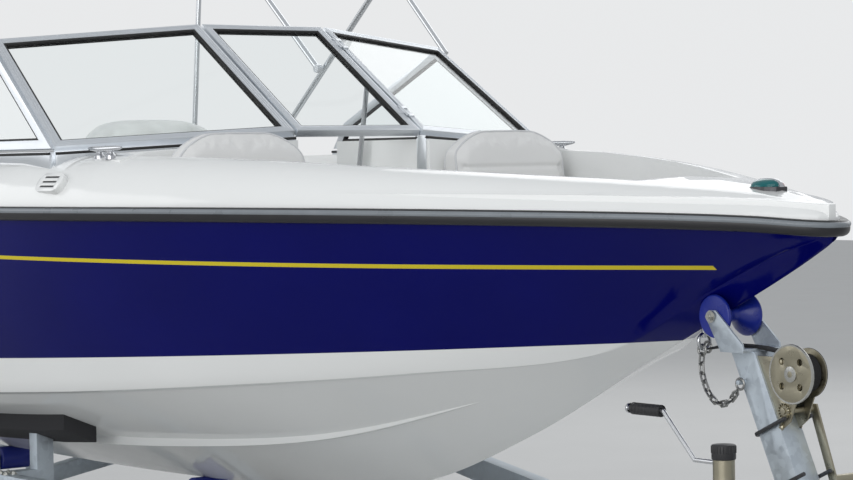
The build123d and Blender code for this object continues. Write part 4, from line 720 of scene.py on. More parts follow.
def smooth_tree():
    """Smooth shading across edges flatter than an angle."""
    tree, start, end = geometry_tree("smooth_by_angle", {"Angle": math.radians(30)})
    faces = add(tree, "GeometryNodeSetShadeSmooth", {"Geometry": start["Geometry"]})
    fold = add(tree, "GeometryNodeInputMeshEdgeAngle").outputs["Unsigned Angle"]
    flatter = add(tree, "FunctionNodeCompare", {"A": fold, "B": start["Angle"]}, operation="LESS_THAN")
    edges = add(tree, "GeometryNodeSetShadeSmooth",
                {"Geometry": faces.outputs["Geometry"], "Shade Smooth": flatter.outputs["Result"]}, domain="EDGE")
    feed(tree, end, edges.outputs["Geometry"])
    return tree


def ring_tree():
    """Blocks set round a ring: its radius, and each block's number, size and turn are inputs."""
    tree, start, end = geometry_tree("ring_of_blocks", {
        "Count": 12, "Ring Radius": 0.1, "Block Size": (0.01, 0.01, 0.01), "Block Turn": (0.0, 0.0, 0.0),
        "Lift": 0.0, "Start": 0.0, "Finish": None})
    line = add(tree, "GeometryNodeMeshLine", {"Offset": (0, 0, 0), "Count": start["Count"]})
    index = add(tree, "GeometryNodeInputIndex").outputs["Index"]
    turn = maths(tree, "MULTIPLY_ADD", maths(tree, "DIVIDE", index, start["Count"]), FULL_TURN, start["Start"])
    x, y = (maths(tree, "MULTIPLY", maths(tree, way, turn), start["Ring Radius"]) for way in ("COSINE", "SINE"))
    block = add(tree, "GeometryNodeMeshCylinder", {"Vertices": 4, "Radius": 0.5, "Depth": 1.0})
    shape = add(tree, "GeometryNodeTransform", {"Geometry": block.outputs["Mesh"], "Rotation": start["Block Turn"],
                                                "Scale": start["Block Size"]})
    moved = add(tree, "GeometryNodeSetPosition", {"Geometry": line.outputs["Mesh"],
                                                  "Position": along_xyz(tree, X=x, Y=y, Z=start["Lift"])})
    copies_on(tree, moved.outputs["Geometry"], shape.outputs["Geometry"], along_xyz(tree, Z=turn),
              start["Finish"], end)
    return tree


def bolt_tree():
    """A washer, a six-sided head and a stud's end on every point, standing along its own direction."""
    tree, start, end = geometry_tree("bolts_on_points", {
        "Head Radius": 0.008, "Head Height": 0.006, "Washer Radius": 0.011, "Stud Length": 0.004, "Finish": None})
    joined = tree.nodes.new("GeometryNodeJoinGeometry")
    head, radius = start["Head Height"], start["Head Radius"]
    washer = maths(tree, "MULTIPLY", head, 0.25)
    stud = maths(tree, "ADD", head, start["Stud Length"])
    for sides, wide, high in ((6, radius, head), (20, start["Washer Radius"], washer),
                              (12, maths(tree, "MULTIPLY", radius, 0.55), stud)):
        piece = add(tree, "GeometryNodeMeshCylinder", {"Vertices": sides, "Radius": wide, "Depth": high})
        lift = along_xyz(tree, Z=maths(tree, "MULTIPLY", high, 0.5))
        raised = add(tree, "GeometryNodeTransform", {"Geometry": piece.outputs["Mesh"], "Translation": lift})
        feed(tree, joined.inputs["Geometry"], raised.outputs["Geometry"])
    outward = add(tree, "GeometryNodeInputNamedAttribute", {"Name": "outward"}, data_type="FLOAT_VECTOR")
    aim = add(tree, "FunctionNodeAlignRotationToVector", {"Vector": outward.outputs["Attribute"]}, axis="Z")
    copies_on(tree, start["Geometry"], joined.outputs["Geometry"], aim.outputs["Rotation"], start["Finish"], end)
    return tree


SMOOTH_TREE, RING_TREE, BOLT_TREE = smooth_tree(), ring_tree(), bolt_tree()


def soften(node, width):
    """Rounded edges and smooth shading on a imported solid, by modifiers alone."""
    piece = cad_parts[node]
    piece.modifiers.new("weld", "WELD").merge_threshold = 0.00002
    flats = piece.modifiers.new("merge_flats", "DECIMATE")
    flats.decimate_type = "DISSOLVE"
    flats.angle_limit = math.radians(0.7)
    if width:
        bevel(piece, width)
    grow_by(piece, "smooth_by_angle", SMOOTH_TREE, {"Angle": math.radians(30)})


def ring_of(name, lay, material, count, radius, size, turn=(0, 0, 0), lift=0.0, start=0.0):
    """Blocks round the Z of lay, as a plain mesh in its place."""
    mesh = bpy.data.meshes.new(name)
    mesh.from_pydata([(0, 0, 0)], [], [])
    piece = make_object(name, mesh)
    grow_by(piece, "ring", RING_TREE, {"Count": count, "Ring Radius": radius, "Block Size": size, "Block Turn": turn,
                                       "Lift": lift, "Start": start, "Finish": material})
    bake_modifiers(piece).data.transform(lay)
    return piece


def bolts(name, places, material, body=BODY, sizes=(0.009, 0.007, 0.0125, 0.004)):
    """Bolts at (place, outward direction) pairs; sizes are head radius and height, washer radius, stud length."""
    mesh = bpy.data.meshes.new(name)
    mesh.from_pydata([tuple(place) for place, _ in places], [], [])
    outward = mesh.attributes.new("outward", "FLOAT_VECTOR", "POINT")
    for item, (_, direction) in zip(outward.data, places):
        item.vector = Vector(direction)
    piece = make_object(name, mesh)
    labels = ("Head Radius", "Head Height", "Washer Radius", "Stud Length")
    grow_by(piece, "bolts", BOLT_TREE, {**dict(zip(labels, sizes)), "Finish": material})
    ride_along(bake_modifiers(piece, 30), body)


# ---- hull

def hull_half(s):
    """(y, z) points of half a section, from the keel to the sheer."""
    keel_z, chine_y, chine_z, sheer_z = (smooth(HULL_TABLE, k, s) for k in (1, 2, 3, 4))
    chine_y *= min(1.0, s / 0.004) ** 0.5
    sheer_y = sheer_half(s)
    flat = CHINE_FLAT * chine_y
    inner = (chine_y - flat, chine_z - CHINE_DROP * flat)
    middle = ((chine_y + sheer_y) / 2 + TOPSIDE_BULGE * min(1, chine_y / 0.2), (chine_z + sheer_z) / 2)
    shares = (0, 0.015, 0.1, 0.3, 0.5, 0.7, 0.9, 0.985, 1)
    bottom = [(inner[0] * t, keel_z + (inner[1] - keel_z) * t) for t in shares]
    edge = min(0.003, 0.2 * chine_y)
    chine = [(chine_y - edge, chine_z - 0.1 * edge), (chine_y, chine_z + edge)]
    return bottom + chine + arc_points((chine_y, chine_z), middle, (sheer_y, sheer_z), 16)[1:]


def bottom_height(s, y):
    keel_z, chine_y, chine_z = (smooth(HULL_TABLE, k, s) for k in (1, 2, 3))
    inner_y = chine_y * (1 - CHINE_FLAT)
    return keel_z + (chine_z - CHINE_DROP * CHINE_FLAT * chine_y - keel_z) * y / inner_y


def strake_section(s):
    """(y, z) points of a lifting strake, from its root under the bottom to its root at the outer edge."""
    edge_y, depth = smooth(STRAKE_TABLE, 1, s), smooth(STRAKE_TABLE, 2, s)
    slope = (bottom_height(s, edge_y) - bottom_height(s, 0)) / edge_y
    low = bottom_height(s, edge_y) - depth
    root, soft, sink = edge_y - depth / slope, min(0.004, depth / 4), 0.003
    return ((root - sink / slope, low), (edge_y - soft, low), (edge_y - 0.3 * soft, low + 0.3 * soft),
            (edge_y, low + soft), (edge_y, low + depth + sink), (root, low + sink))


def make_hull():
    form = Form()
    rows = []
    for s in HULL_STATIONS:
        half = hull_half(s)
        rows.append([at(s, -y, z) for y, z in half[::-1]] + [at(s, y, z) for y, z in half[1:]])
    base = form.grid(rows)
    wide = len(rows[0])
    form.cap(base, wide)
    form.cap(base + wide * (len(rows) - 1), wide, True)
    hull = make_mesh("hull_skin", form.points, form.faces, [HULL], 28)
    wall = hull.modifiers.new("wall", "SOLIDIFY")
    wall.thickness = HULL_WALL
    wall.offset = -1
    bake_modifiers(hull, 28)
    ride_along(hull, replaces=["hull_shell"])
    strakes = Form()
    first = STRAKE_TABLE[0][0]
    stations = [first + (TRANSOM - first) * k / STRAKE_ROWS for k in range(STRAKE_ROWS + 1)]
    for side in SIDES:
        strakes.sweep([[at(s, side * y, z) for y, z in strake_section(s)] for s in stations])
    strakes.show("lifting_strakes", [HULL], 40, "hull_gelcoat")
    tub = Form()
    s0, s1, half, floor, rim = BAY_TUB
    inner = [(s0, -half), (s1, -half), (s1, half), (s0, half)]
    t = TUB_WALL
    outer = [(s0 - t, -half - t), (s1 + t, -half - t), (s1 + t, half + t), (s0 - t, half + t)]
    rows = [[at(s, y, z) for s, y in plan] for plan, z in ((outer, rim), (inner, rim), (inner, floor))]
    base = tub.grid(rows, wrap=True)
    tub.cap(base + 8, 4)
    ride_along(make_mesh("engine_bay_tub", tub.points, tub.faces, [WHITE], 30))


# ---- rub rail round the sheer

def sheer_frames():
    """Places and outward directions round the sheer, port transom corner to starboard, close round the bow."""
    stations = [BOW_ROUND * (k / 110) ** 3 for k in range(111)]
    stations += [BOW_ROUND + (TRANSOM - BOW_ROUND) * k / 30 for k in range(1, 31)]
    half = [(s, sheer_half(s)) for s in stations]
    places = half[::-1] + [(s, -y) for s, y in half[1:]]
    amidships = Vector((BOW_X - 2.6, 0, 0))
    frames = []
    for i, (s, y) in enumerate(places):
        (s0, y0), (s1, y1) = places[max(i - 1, 0)], places[min(i + 1, len(places) - 1)]
        run = (at(s1, y1, 0) - at(s0, y0, 0)).normalized()
        out = Vector((run.y, -run.x, 0))
        if out.dot(at(s, y, 0) - amidships) < 0:
            out = -out
        frames.append((at(s, y, smooth(HULL_TABLE, 4, s)), out))
    return frames


def make_rub_rail():
    # The grey bead, set out by insert, is painted reflection: the sky's sheen along the upper half of the black rail,
    # drawn as a grey strip
    insert, lift, radius = RAIL_SHEEN_BEAD
    bead = [(insert + radius * math.cos(a), lift + radius * math.sin(a)) for a in angles(12)]
    for name, section, material, replaces in (("rub_rail_body", RAIL_SECTION, RAIL_BLACK, ["rub_rail"]),
                                              ("rub_rail_painted_sheen", bead, RAIL_SHEEN_GREY, ())):
        rail = Form()
        rail.sweep([[place + out * o + Vector(UP) * u for o, u in section] for place, out in sheer_frames()])
        rail.show(name, [material], 40, "rub_rail", replaces=replaces)


# ---- windshield: rubber round the panes and the ribs of the drawn bars

def meet(p, u, q, v):
    """Where two lines in a plane cross."""
    across = u[0] * v[1] - u[1] * v[0]
    t = ((q[0] - p[0]) * v[1] - (q[1] - p[1]) * v[0]) / across
    return p[0] + u[0] * t, p[1] + u[1] * t


def drawn_in(outline, distance):
    """A flat outline with every side moved inwards."""
    pairs = list(zip(outline, outline[1:] + outline[:1]))
    sign = 1 if sum(x0 * y1 - x1 * y0 for (x0, y0), (x1, y1) in pairs) > 0 else -1
    lines = []
    for (x0, y0), (x1, y1) in pairs:
        length = math.hypot(x1 - x0, y1 - y0)
        u = ((x1 - x0) / length, (y1 - y0) / length)
        lines.append(((x0 - u[1] * distance * sign, y0 + u[0] * distance * sign), u))
    return [meet(*lines[i - 1], *lines[i]) for i in range(len(lines))]


def pane_trim(corners, ribs, rubber):
    """Rubber between glass and bars on both faces, and three ribs along the outer face of every bar."""
    origin = corners[0]
    across = (corners[1] - origin).normalized()
    normal = across.cross(corners[3] - origin).normalized()
    up = normal.cross(across)
    flat = [((c - origin).dot(across), (c - origin).dot(up)) for c in corners]
    outward = 1 if normal.x > 0 or (abs(normal.x) < 0.35 and normal.y * origin.y > 0) else -1

    def strip(form, section):
        rows = [[origin + across * x + up * y + normal * high for x, y in drawn_in(flat, inset)]
                for inset, high in section]
        form.grid(rows, wrap=True, loop=True)

    seal = ((-0.001, 0.001), (-0.001, 0.0105), (0.002, 0.0115), (0.0065, 0.009), (0.008, 0.0032), (0.006, 0.001))
    for side in SIDES:
        strip(rubber, [(PANE_BAR + inset, side * high) for inset, high in seal])
    rib = ((-0.0022, -0.002), (-0.0018, 0.0004), (0, 0.0011), (0.0018, 0.0004), (0.0022, -0.002))
    for middle in (0.0055, 0.013, 0.0205):
        strip(ribs, [(middle + inset, outward * (PANE_DEPTH / 2 + high)) for inset, high in rib])


def pane_corners():
    """Corners of the port front pane, the port side pane and the middle pane, as the bars are laid."""
    inner_y = PANE_CENTRE_HALF + PANE_GAP
    base_in, base_out = at(PANE_BASE[0], inner_y, PANE_BASE[1]), at(*PANE_CORNER)
    head_in = at(PANE_TOP[0], inner_y, PANE_TOP[1])
    normal = (base_out - base_in).cross(head_in - base_in)
    y, z = PANE_CORNER_TOP
    head_out = Vector((base_in.x - (normal.y * (y - base_in.y) + normal.z * (z - base_in.z)) / normal.x, y, z))
    aft_base = at(*PANE_AFT)
    side_normal = (aft_base - base_out).cross(head_out - base_out)
    s, z = PANE_AFT_TOP
    x = BOW_X - s
    side_y = base_out.y - (side_normal.x * (x - base_out.x) + side_normal.z * (z - base_out.z)) / side_normal.y
    middle = [at(s, y * PANE_CENTRE_HALF, z) for (s, z), y in ((PANE_BASE, -1), (PANE_BASE, 1), (PANE_TOP, 1),
                                                               (PANE_TOP, -1))]
    return [base_in, base_out, head_out, head_in], [base_out, aft_base, Vector((x, side_y, z)), head_out], middle


def across_boat(points):
    return [Vector((p.x, -p.y, p.z)) for p in points]


def make_windshield():
    front, side, middle = pane_corners()
    rubber, ribs = Form(), Form()
    for corners in (front, across_boat(front), side, across_boat(side)):
        pane_trim(corners, ribs, rubber)
    foot = [front[0], front[1], side[1]]
    for route in (foot, across_boat(foot)):
        for a, b in zip(route, route[1:]):
            run = (b - a).normalized()
            out = Vector((-run.y, run.x, 0)).normalized()
            for offset in (0.0175, -0.0175):
                shift = out * offset + Vector((0, 0, -0.0135))
                rubber.tube([a + shift, b + shift], 0.0042, 8)
    ribs.show("windshield_ribs", [ANODISED], 25, "window_frame")
    rubber.show("windshield_rubber", [GASKET], 40, "black_plastic")
    window_ribs, window_rubber = Form(), Form()
    pane_trim(middle, window_ribs, window_rubber)
    window_ribs.show("window_ribs", [ANODISED], 25, "window_frame", LEAF)
    window_rubber.show("window_rubber", [GASKET], 40, "black_plastic", LEAF)
    latch = Form()
    normal = (middle[1] - middle[0]).cross(middle[3] - middle[0]).normalized()
    aft = normal if normal.x < 0 else -normal
    for share in (0.22, 0.8):
        place = middle[0] * (1 - share) + middle[3] * share
        lay = lay_on(place + aft * 0.012 + Vector((0, 0.014, 0)), aft, PORT)
        latch.turned([(AXIS, 0), (0.010, 0), (0.010, 0.004), (0.006, 0.006), (0.005, 0.012), (AXIS, 0.013)], lay, 20)
        latch.tube([lay @ Vector(p) for p in ((0, 0, 0.010), (0.012, 0, 0.013), (0.028, 0, 0.012))],
                   [0.0045, 0.004, 0.003], 10)
    latch.show("window_latches", [BLACK], 30, "black_plastic", LEAF)


# ---- upholstery

def pad_block(front, back, name):
    """A closed block between two outlines that face each other."""
    count = len(front)
    faces = [tuple(range(count)), tuple(range(2 * count - 1, count - 1, -1))]
    faces += [(j, count + j, count + (j + 1) % count, (j + 1) % count) for j in range(count)]
    return make_mesh(name, list(front) + list(back), faces, [VINYL], 180, outward=True)


def blow_up(pad):
    """A short cloth simulation with pressure inside and no gravity."""
    cloth = pad.modifiers.new("fill", "CLOTH")
    cloth.settings.quality = 4
    cloth.settings.mass = 0.3
    cloth.settings.use_pressure = True
    cloth.settings.uniform_pressure_force = 4.0
    cloth.settings.tension_stiffness = 12
    cloth.settings.compression_stiffness = 12
    cloth.settings.bending_stiffness = 0.8
    cloth.settings.effector_weights.gravity = 0
    cloth.collision_settings.use_collision = False
    cloth.point_cache.frame_start = 1
    cloth.point_cache.frame_end = CLOTH_FRAMES
    for number in range(1, CLOTH_FRAMES + 1):
        bpy.context.scene.frame_set(number)
    bake_modifiers(pad, 180)
    bpy.context.scene.frame_set(1)


def swell(pad, voxel, cap, rest_z=None, room=None):
    """Fabric over foam: remeshed, blown up a little by a cloth simulation, and held within a cap."""
    remesh = pad.modifiers.new("even_mesh", "REMESH")
    remesh.mode = "VOXEL"
    remesh.voxel_size = voxel
    relax = pad.modifiers.new("soft_corners", "CORRECTIVE_SMOOTH")
    relax.use_only_smooth = True
    relax.factor = 0.5
    relax.iterations = 6
    bake_modifiers(pad, 180)
    start = [v.co.copy() for v in pad.data.vertices]
    blow_up(pad)
    for vertex, origin in zip(pad.data.vertices, start):
        move = vertex.co - origin
        if move.length > cap:
            vertex.co = origin + move * (cap / move.length)
        if rest_z is not None:
            vertex.co.z = max(vertex.co.z, rest_z)
        if room:
            for axis in range(3):
                vertex.co[axis] = min(max(vertex.co[axis], room[0][axis]), room[1][axis])
    divide = pad.modifiers.new("fine", "SUBSURF")
    divide.levels = divide.render_levels = 1
    bake_modifiers(pad, 180)


def surface_of(pad):
    form = bmesh.new()
    form.from_mesh(pad.data)
    found = BVHTree.FromBMesh(form)
    form.free()
    return found


def lies_on(surface, points, lift):
    """Points brought to the nearest place on a surface, and lifted off it."""
    hits = (surface.find_nearest(point) for point in points)
    return [place + normal * lift for place, normal, _, _ in hits]


def along(points, step, closed=True):
    """Evenly placed points along straight runs."""
    fine = []
    for a, b in zip(points, points[1:] + points[:1] if closed else points[1:]):
        count = max(1, round((b - a).length / step))
        fine += [a.lerp(b, k / count) for k in range(count)]
    return fine if closed else fine + [points[-1]]


def eased(points, rounds):
    """A closed line of points with its corners eased."""
    for _ in range(rounds):
        points = [(points[i - 1] + points[i] * 2 + points[(i + 1) % len(points)]) / 4 for i in range(len(points))]
    return points


def press_channel(pad, line):
    """A sewn channel: the cover is drawn in along a line of points."""
    tree = KDTree(len(line))
    for i, point in enumerate(line):
        tree.insert(point, i)
    tree.balance()
    normals = [v.normal.copy() for v in pad.data.vertices]
    for vertex, normal in zip(pad.data.vertices, normals):
        distance = tree.find(vertex.co)[2]
        if distance < 3 * CHANNEL_WIDTH:
            vertex.co -= normal * CHANNEL_DEPTH * math.exp(-(distance / CHANNEL_WIDTH) ** 2)


def finish_pad(pad, name, seam_loops, channels):
    """Channels, then piping laid on the swollen cover; returns the piping."""
    surface = surface_of(pad)
    for line in channels:
        press_channel(pad, lies_on(surface, along(line, 0.006, False), 0))
    surface = surface_of(pad)
    cords = Form()
    for loop in seam_loops:
        cords.tube(eased(lies_on(surface, along(loop, 0.012), 0.0008), 4), PIPING, 8, closed=True)
    return cords.piece(name, [VINYL_TRIM], 60)


def opposite(piece, name=None):
    """The same pad on the starboard side."""
    name = name or piece.name.replace("_port", "_starboard")
    mesh = piece.data.copy()
    for vertex in mesh.vertices:
        vertex.co.y = -vertex.co.y
    mesh.flip_normals()
    mesh.name = name
    return make_object(name, mesh)


def place_pads(pads, cords, node, body=BODY):
    """Pads and their piping, put on their body in place of the plain solids."""
    for pad in pads:
        ride_along(pad, body, [node])
    for cord in cords:
        ride_along(cord, body)


def arched_top(middle, half, top, flat, drop, count):
    """(y, z) points of a backrest's top edge: flat in its middle share, then falling by drop."""
    shares = [-1 + 2 * k / count for k in range(count + 1)]
    return [(middle + half * u, top - drop * max(0.0, (abs(u) - flat) / (1 - flat)) ** 2.2) for u in shares]


def leaning(outline, stations, low, high):
    """(y, z) points on a plane that leans from one station at low to the next at high."""
    s_low, s_high = stations
    return [at(s_low + (s_high - s_low) * (z - low) / (high - low), y, z) for y, z in outline]


def make_bow_seats():
    room_low, room_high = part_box("bow_seats")
    inner, outer = BOW_BACK_Y
    middle, half = (inner + outer) / 2, (outer - inner) / 2 - PAD_INSET
    top, low = BOW_BACK_TOP + 0.006, BOW_BACK_LOW + PAD_INSET
    outline = [(middle + half, low), (middle - half, low)] + arched_top(middle, half, top, 0.3, 0.075, 24)
    front, back = (leaning(outline, stations, BOW_BACK_LOW, BOW_BACK_TOP) for stations in (
        (BOW_BACK_FRONT[0] + 0.010, BOW_BACK_FRONT[1] + 0.008), (BOW_BACK_REAR[0] - 0.010, BOW_BACK_REAR[1] - 0.006)))
    pad = pad_block(front, back, "bow_backrest_port")
    swell(pad, PAD_VOXEL_FINE, 0.014, room=(Vector((room_low.x, 0, room_low.z)), room_high + Vector((0, 0, 0.004))))
    lines = []
    for share in (0.36, 0.62):
        z = low + (top - low) * share
        ends = [(middle - half * 0.86, z), (middle + half * 0.86, z)]
        lines.append(leaning(ends, BOW_BACK_FRONT, BOW_BACK_LOW, BOW_BACK_TOP))
    cords = finish_pad(pad, "bow_backrest_piping_port", [front, back], lines)
    pads, trims = [pad, opposite(pad)], [cords, opposite(cords)]
    plan = [(s, crest(s) - 0.078) for s in (0.68, 0.78, 0.90, 1.03, 1.15, 1.28, 1.40, 1.54, 1.67, 1.795)]
    plan += [(1.795, 0.243), (1.5, 0.243), (1.16, 0.243), (1.0, 0.155), (0.857, 0.068), (0.77, 0.068), (0.69, 0.068)]
    lower, upper, seam = ([at(s, y, BOW_BENCH + lift) for s, y in plan] for lift in (0.002, 0.080, 0.078))
    seat = pad_block(upper, lower, "bow_cushion_port")
    swell(seat, PAD_VOXEL, 0.010, BOW_BENCH + 0.0008, room=(
        Vector((room_low.x, 0.056, room_low.z)), Vector((room_high.x, 0.8, BOW_BENCH + 0.091))))
    z = BOW_BENCH + 0.085
    ribs = [[at(s, 0.262 + 0.02, z), at(s, crest(s) - 0.115, z)] for s in (1.30, 1.46, 1.62)]
    cords = finish_pad(seat, "bow_cushion_piping_port", [seam], ribs)
    place_pads(pads + [seat, opposite(seat)], trims + [cords, opposite(cords)], "bow_seats")


def slab_outline(s0, s1, y0, y1, corner):
    """A rectangle in plan with rounded corners."""
    points = []
    for cs, cy, turn in ((s1 - corner, y1 - corner, 0), (s0 + corner, y1 - corner, 90),
                         (s0 + corner, y0 + corner, 180), (s1 - corner, y0 + corner, 270)):
        for k in range(6):
            a = math.radians(turn + 90 * k / 5)
            points.append((cs + corner * math.cos(a), cy + corner * math.sin(a)))
    return points


def slab_pad(name, extent, z0, z1, voxel, cap, channels, corner):
    """A flat cushion and its piping."""
    lower, upper, rim = ([at(s, y, z) for s, y in slab_outline(*extent, corner)] for z in (z0, z1, z1 - 0.004))
    pad = pad_block(upper, lower, name)
    swell(pad, voxel, cap, z0)
    return pad, finish_pad(pad, name + "_piping", [rim], channels)


def make_helm_seats():
    s, y, top = HELM_SEAT_S, HELM_SEAT_Y, HELM_SEAT_TOP
    lines = [[at(s + 0.05, y + off, top), at(s + 0.34, y + off, top)] for off in (-0.075, 0.075)]
    seat, cords = slab_pad("helm_cushion_port", (s + PAD_INSET, s + 0.395, y - 0.222, y + 0.222), top - 0.118,
                           top - 0.012, PAD_VOXEL_FINE, 0.012, lines, 0.05)
    low, high = top - 0.095, top + 0.318
    outline = [(y + 0.2, low), (y - 0.2, low)] + arched_top(y, 0.213, high, 0.35, 0.06, 20)
    front = leaning(outline, (s + 0.402, s + 0.458), low, high)
    back = leaning(outline, (s + 0.488, s + 0.510), low, high)
    rest = pad_block(front, back, "helm_backrest_port")
    room = (at(s + 0.519, y - 0.229, low - 0.01), at(s + 0.396, y + 0.229, high + 0.01))
    swell(rest, PAD_VOXEL_FINE, 0.012, room=room)
    lines = [[at(s + 0.42, y + off, low + 0.10), at(s + 0.45, y + off, high - 0.06)] for off in (-0.07, 0.07)]
    rest_cords = finish_pad(rest, "helm_backrest_piping_port", [front, back], lines)
    pads = [seat, rest, opposite(seat), opposite(rest)]
    trims = [cords, rest_cords, opposite(cords, "helm_cushion_piping_starboard"), opposite(rest_cords)]
    place_pads(pads, trims, "helm_seats")


def make_stern_seat():
    s0, s1, half, z0 = STERN_SEAT
    inset = PAD_INSET
    lines = [[at(s0 + 0.03, y, z0 + 0.1), at(s1 - 0.03, y, z0 + 0.1)] for y in STERN_CHANNELS]
    seat, cords = slab_pad("stern_cushion", (s0 + inset, s1 - inset, -half + inset, half - inset), z0 + 0.001,
                           z0 + 0.098, PAD_VOXEL, 0.010, lines, 0.045)
    low, high = z0 + 0.122, STERN_BACK_TOP
    rim = ((-0.01, high - 0.05), (-0.035, high - 0.015), (-0.08, high))
    outline = [(half - 0.01, low), (-half + 0.01, low)] + [(-half - y, z) for y, z in rim]
    outline += [(half + y, z) for y, z in rim[::-1]]
    front = leaning(outline, STERN_BACK_FRONT, low, high)
    back = [at(STERN_BACK_REAR, y, z) for y, z in outline]
    rest = pad_block(front, back, "stern_backrest")
    room = (at(STERN_ROOM[1], -half, low - 0.01), at(STERN_ROOM[0], half, high + 0.006))
    swell(rest, PAD_VOXEL, 0.010, room=room)
    lines = [[at(4.25, y, low + 0.03), at(4.29, y, high - 0.04)] for y in STERN_CHANNELS]
    rest_cords = finish_pad(rest, "stern_backrest_piping", [front], lines)
    place_pads([seat, rest], [cords, rest_cords], "stern_seat")


def make_sun_pad():
    s0, s1, half, z0, z1 = SUN_PAD
    inset, middle = PAD_INSET, (s0 + s1) / 2
    lines = [[at(s0 + 0.03, y, z1), at(s1 - 0.03, y, z1)] for y in (-0.29, 0.29)]
    lines += [[at(s, -half + 0.03, z1), at(s, half - 0.03, z1)] for s in (middle - 0.12, middle + 0.12)]
    pad, cords = slab_pad("sun_pad_cushion", (s0 + inset, s1 - inset, -half + inset, half - inset), z0 + 0.0006,
                          z1 - 0.009, PAD_VOXEL, 0.009, lines, 0.06)
    place_pads([pad], [cords], "sun_pad", "engine_lid")


# ---- cockpit sole and helm

def sole_edge(s):
    """Half-breadth of the cockpit floor, clear of the hull's skin."""
    keel_z, chine_y, chine_z = (smooth(HULL_TABLE, k, s) for k in (1, 2, 3))
    panel = chine_y * (SKIN_Z - keel_z) / (chine_z - keel_z) if SKIN_Z < chine_z else chine_y
    return min(SOLE_HALF, panel - SKIN_CLEARANCE)


def flat_pads(form, plans, corner, height):
    """Flat pads with rounded corners, one for each s0, s1, y0, y1, z."""
    for *extent, z in plans:
        form.bar([at(s, y, z) for s, y in slab_outline(*extent, corner)], (0, 0, height))


def make_sole():
    sole = Form()
    stations = [2.04 + 0.046 * k for k in range(41)]
    shares = (-1, -0.5, 0, 0.5, 1)
    for z, across in ((SOLE_TOP, shares), (SOLE_LOW, shares[::-1])):
        sole.grid([[at(s, sole_edge(s) * u, z) for u in across] for s in stations])
    sole.show("cockpit_sole", [NON_SKID], 30, "deck_gelcoat")
    mats = Form()
    flat_pads(mats, ((2.54, 3.82, -0.20, 0.20, 0.9052), (1.28, 1.93, -0.19, 0.19, 1.0852)), 0.03, 0.006)
    mats.show("sole_mats", [MAT], 40, "bunk_carpet")


def gauge(form, lay, radius):
    """Bezel, dial, glass, eleven marks and a needle."""
    form.turned([(radius, -0.002), (radius, 0.006), (radius - 0.0015, 0.009), (radius - 0.004, 0.0095),
                 (radius - 0.0055, 0.008), (radius - 0.0062, 0.003)], lay, 48, 0)
    form.turned([(radius - 0.0058, 0.0025), (0.004, 0.0025), (0.0035, 0.005), (AXIS, 0.0055)], lay, 40, 1)
    form.turned([(radius - 0.006, 0.0072), (radius * 0.5, 0.0082), (AXIS, 0.0085)], lay, 40, 2)
    for k in range(11):
        a = math.radians(-225 + 27 * k)
        form.tube([lay @ polar(radius * share, a, 0.0032) for share in (0.62, 0.78)], 0.0007, 5, 3)
    needle = math.radians(-140)
    form.tube([lay @ polar(radius * share, needle, 0.0042) for share in (0, 0.7)], [0.0014, 0.0005], 6, 4)


def hood_row(s, share, drop):
    """A section of the dash hood; share is how far it has risen, drop how far it falls back."""
    row = []
    for k in range(33):
        a = math.pi * k / 32
        side, rise = math.cos(a), math.sin(a)
        y = HELM_Y - 0.003 + 0.2035 * math.copysign(abs(side) ** 0.62, side) * (0.93 + 0.07 * share)
        row.append(at(s, y, max(1.640 + (0.122 * rise ** 0.72) * share + 0.002 - drop * 0.2, HOOD_EDGE)))
    return [at(s, row[0].y, HOOD_LOW)] + row + [at(s, row[-1].y, HOOD_LOW)]


def make_dash():
    hood = Form()
    hood.sweep([hood_row(*place) for place in (
        (2.331, 0.0, 0.06), (2.334, 0.55, 0.045), (2.345, 0.80, 0.022), (2.365, 0.93, 0.008), (2.40, 0.985, 0.002),
        (2.45, 1.0, 0.0), (2.50, 1.0, 0.0), (2.514, 0.993, 0.001), (2.519, 0.975, 0.004))])
    hood.show("helm_hood", [DASH], 50, "dash", replaces=["helm_dash"])
    half = ((0.185, 1.391), (0.199, 1.40), (0.199, 1.66), (0.15, 1.715))
    outline = [(HELM_Y + y, z) for y, z in half] + [(HELM_Y, 1.738)] + [(HELM_Y - y, z) for y, z in half[::-1]]
    face, panel = Form(), Form()
    face.bar([at(DASH_S, y, z) for y, z in outline], (0.055, 0, 0))
    ride_along(round_edges(face.piece("helm_face", [DASH], 30), 0.006, 30, 3))
    inner = [(HELM_Y + (y - HELM_Y) * 0.92, 1.565 + (z - 1.565) * 0.9) for y, z in outline]
    panel.bar([at(DASH_S + 0.003, y, z) for y, z in inner], (0.004, 0, 0))
    panel.show("helm_panel", [BLACK], 30, "black_plastic", edge=0.001)
    dials = Form()
    for y, z, radius in DIALS:
        gauge(dials, lay_on(at(DASH_S + 0.004, HELM_Y + y, z), AFT, PORT), radius)
    dials.show("helm_gauges", [STAINLESS, BLACK, GLASS, WHITE, LENS_RED], 30, "stainless")
    switches = Form()
    for s, half, low, high, lift in ((2.519, 0.010, 1.520, 1.548, (-0.005, 0, 0)),
                                     (2.524, 0.007, 1.524, 1.535, (-0.003, 0, -0.001))):
        for k in range(8):
            y = HELM_Y - 0.154 + 0.044 * k
            switches.bar([at(s, y - half, low), at(s, y + half, low), at(s, y + half, high), at(s, y - half, high)],
                         lift)
    switches.show("helm_switches", [BLACK], 30, "black_plastic", edge=0.0008)


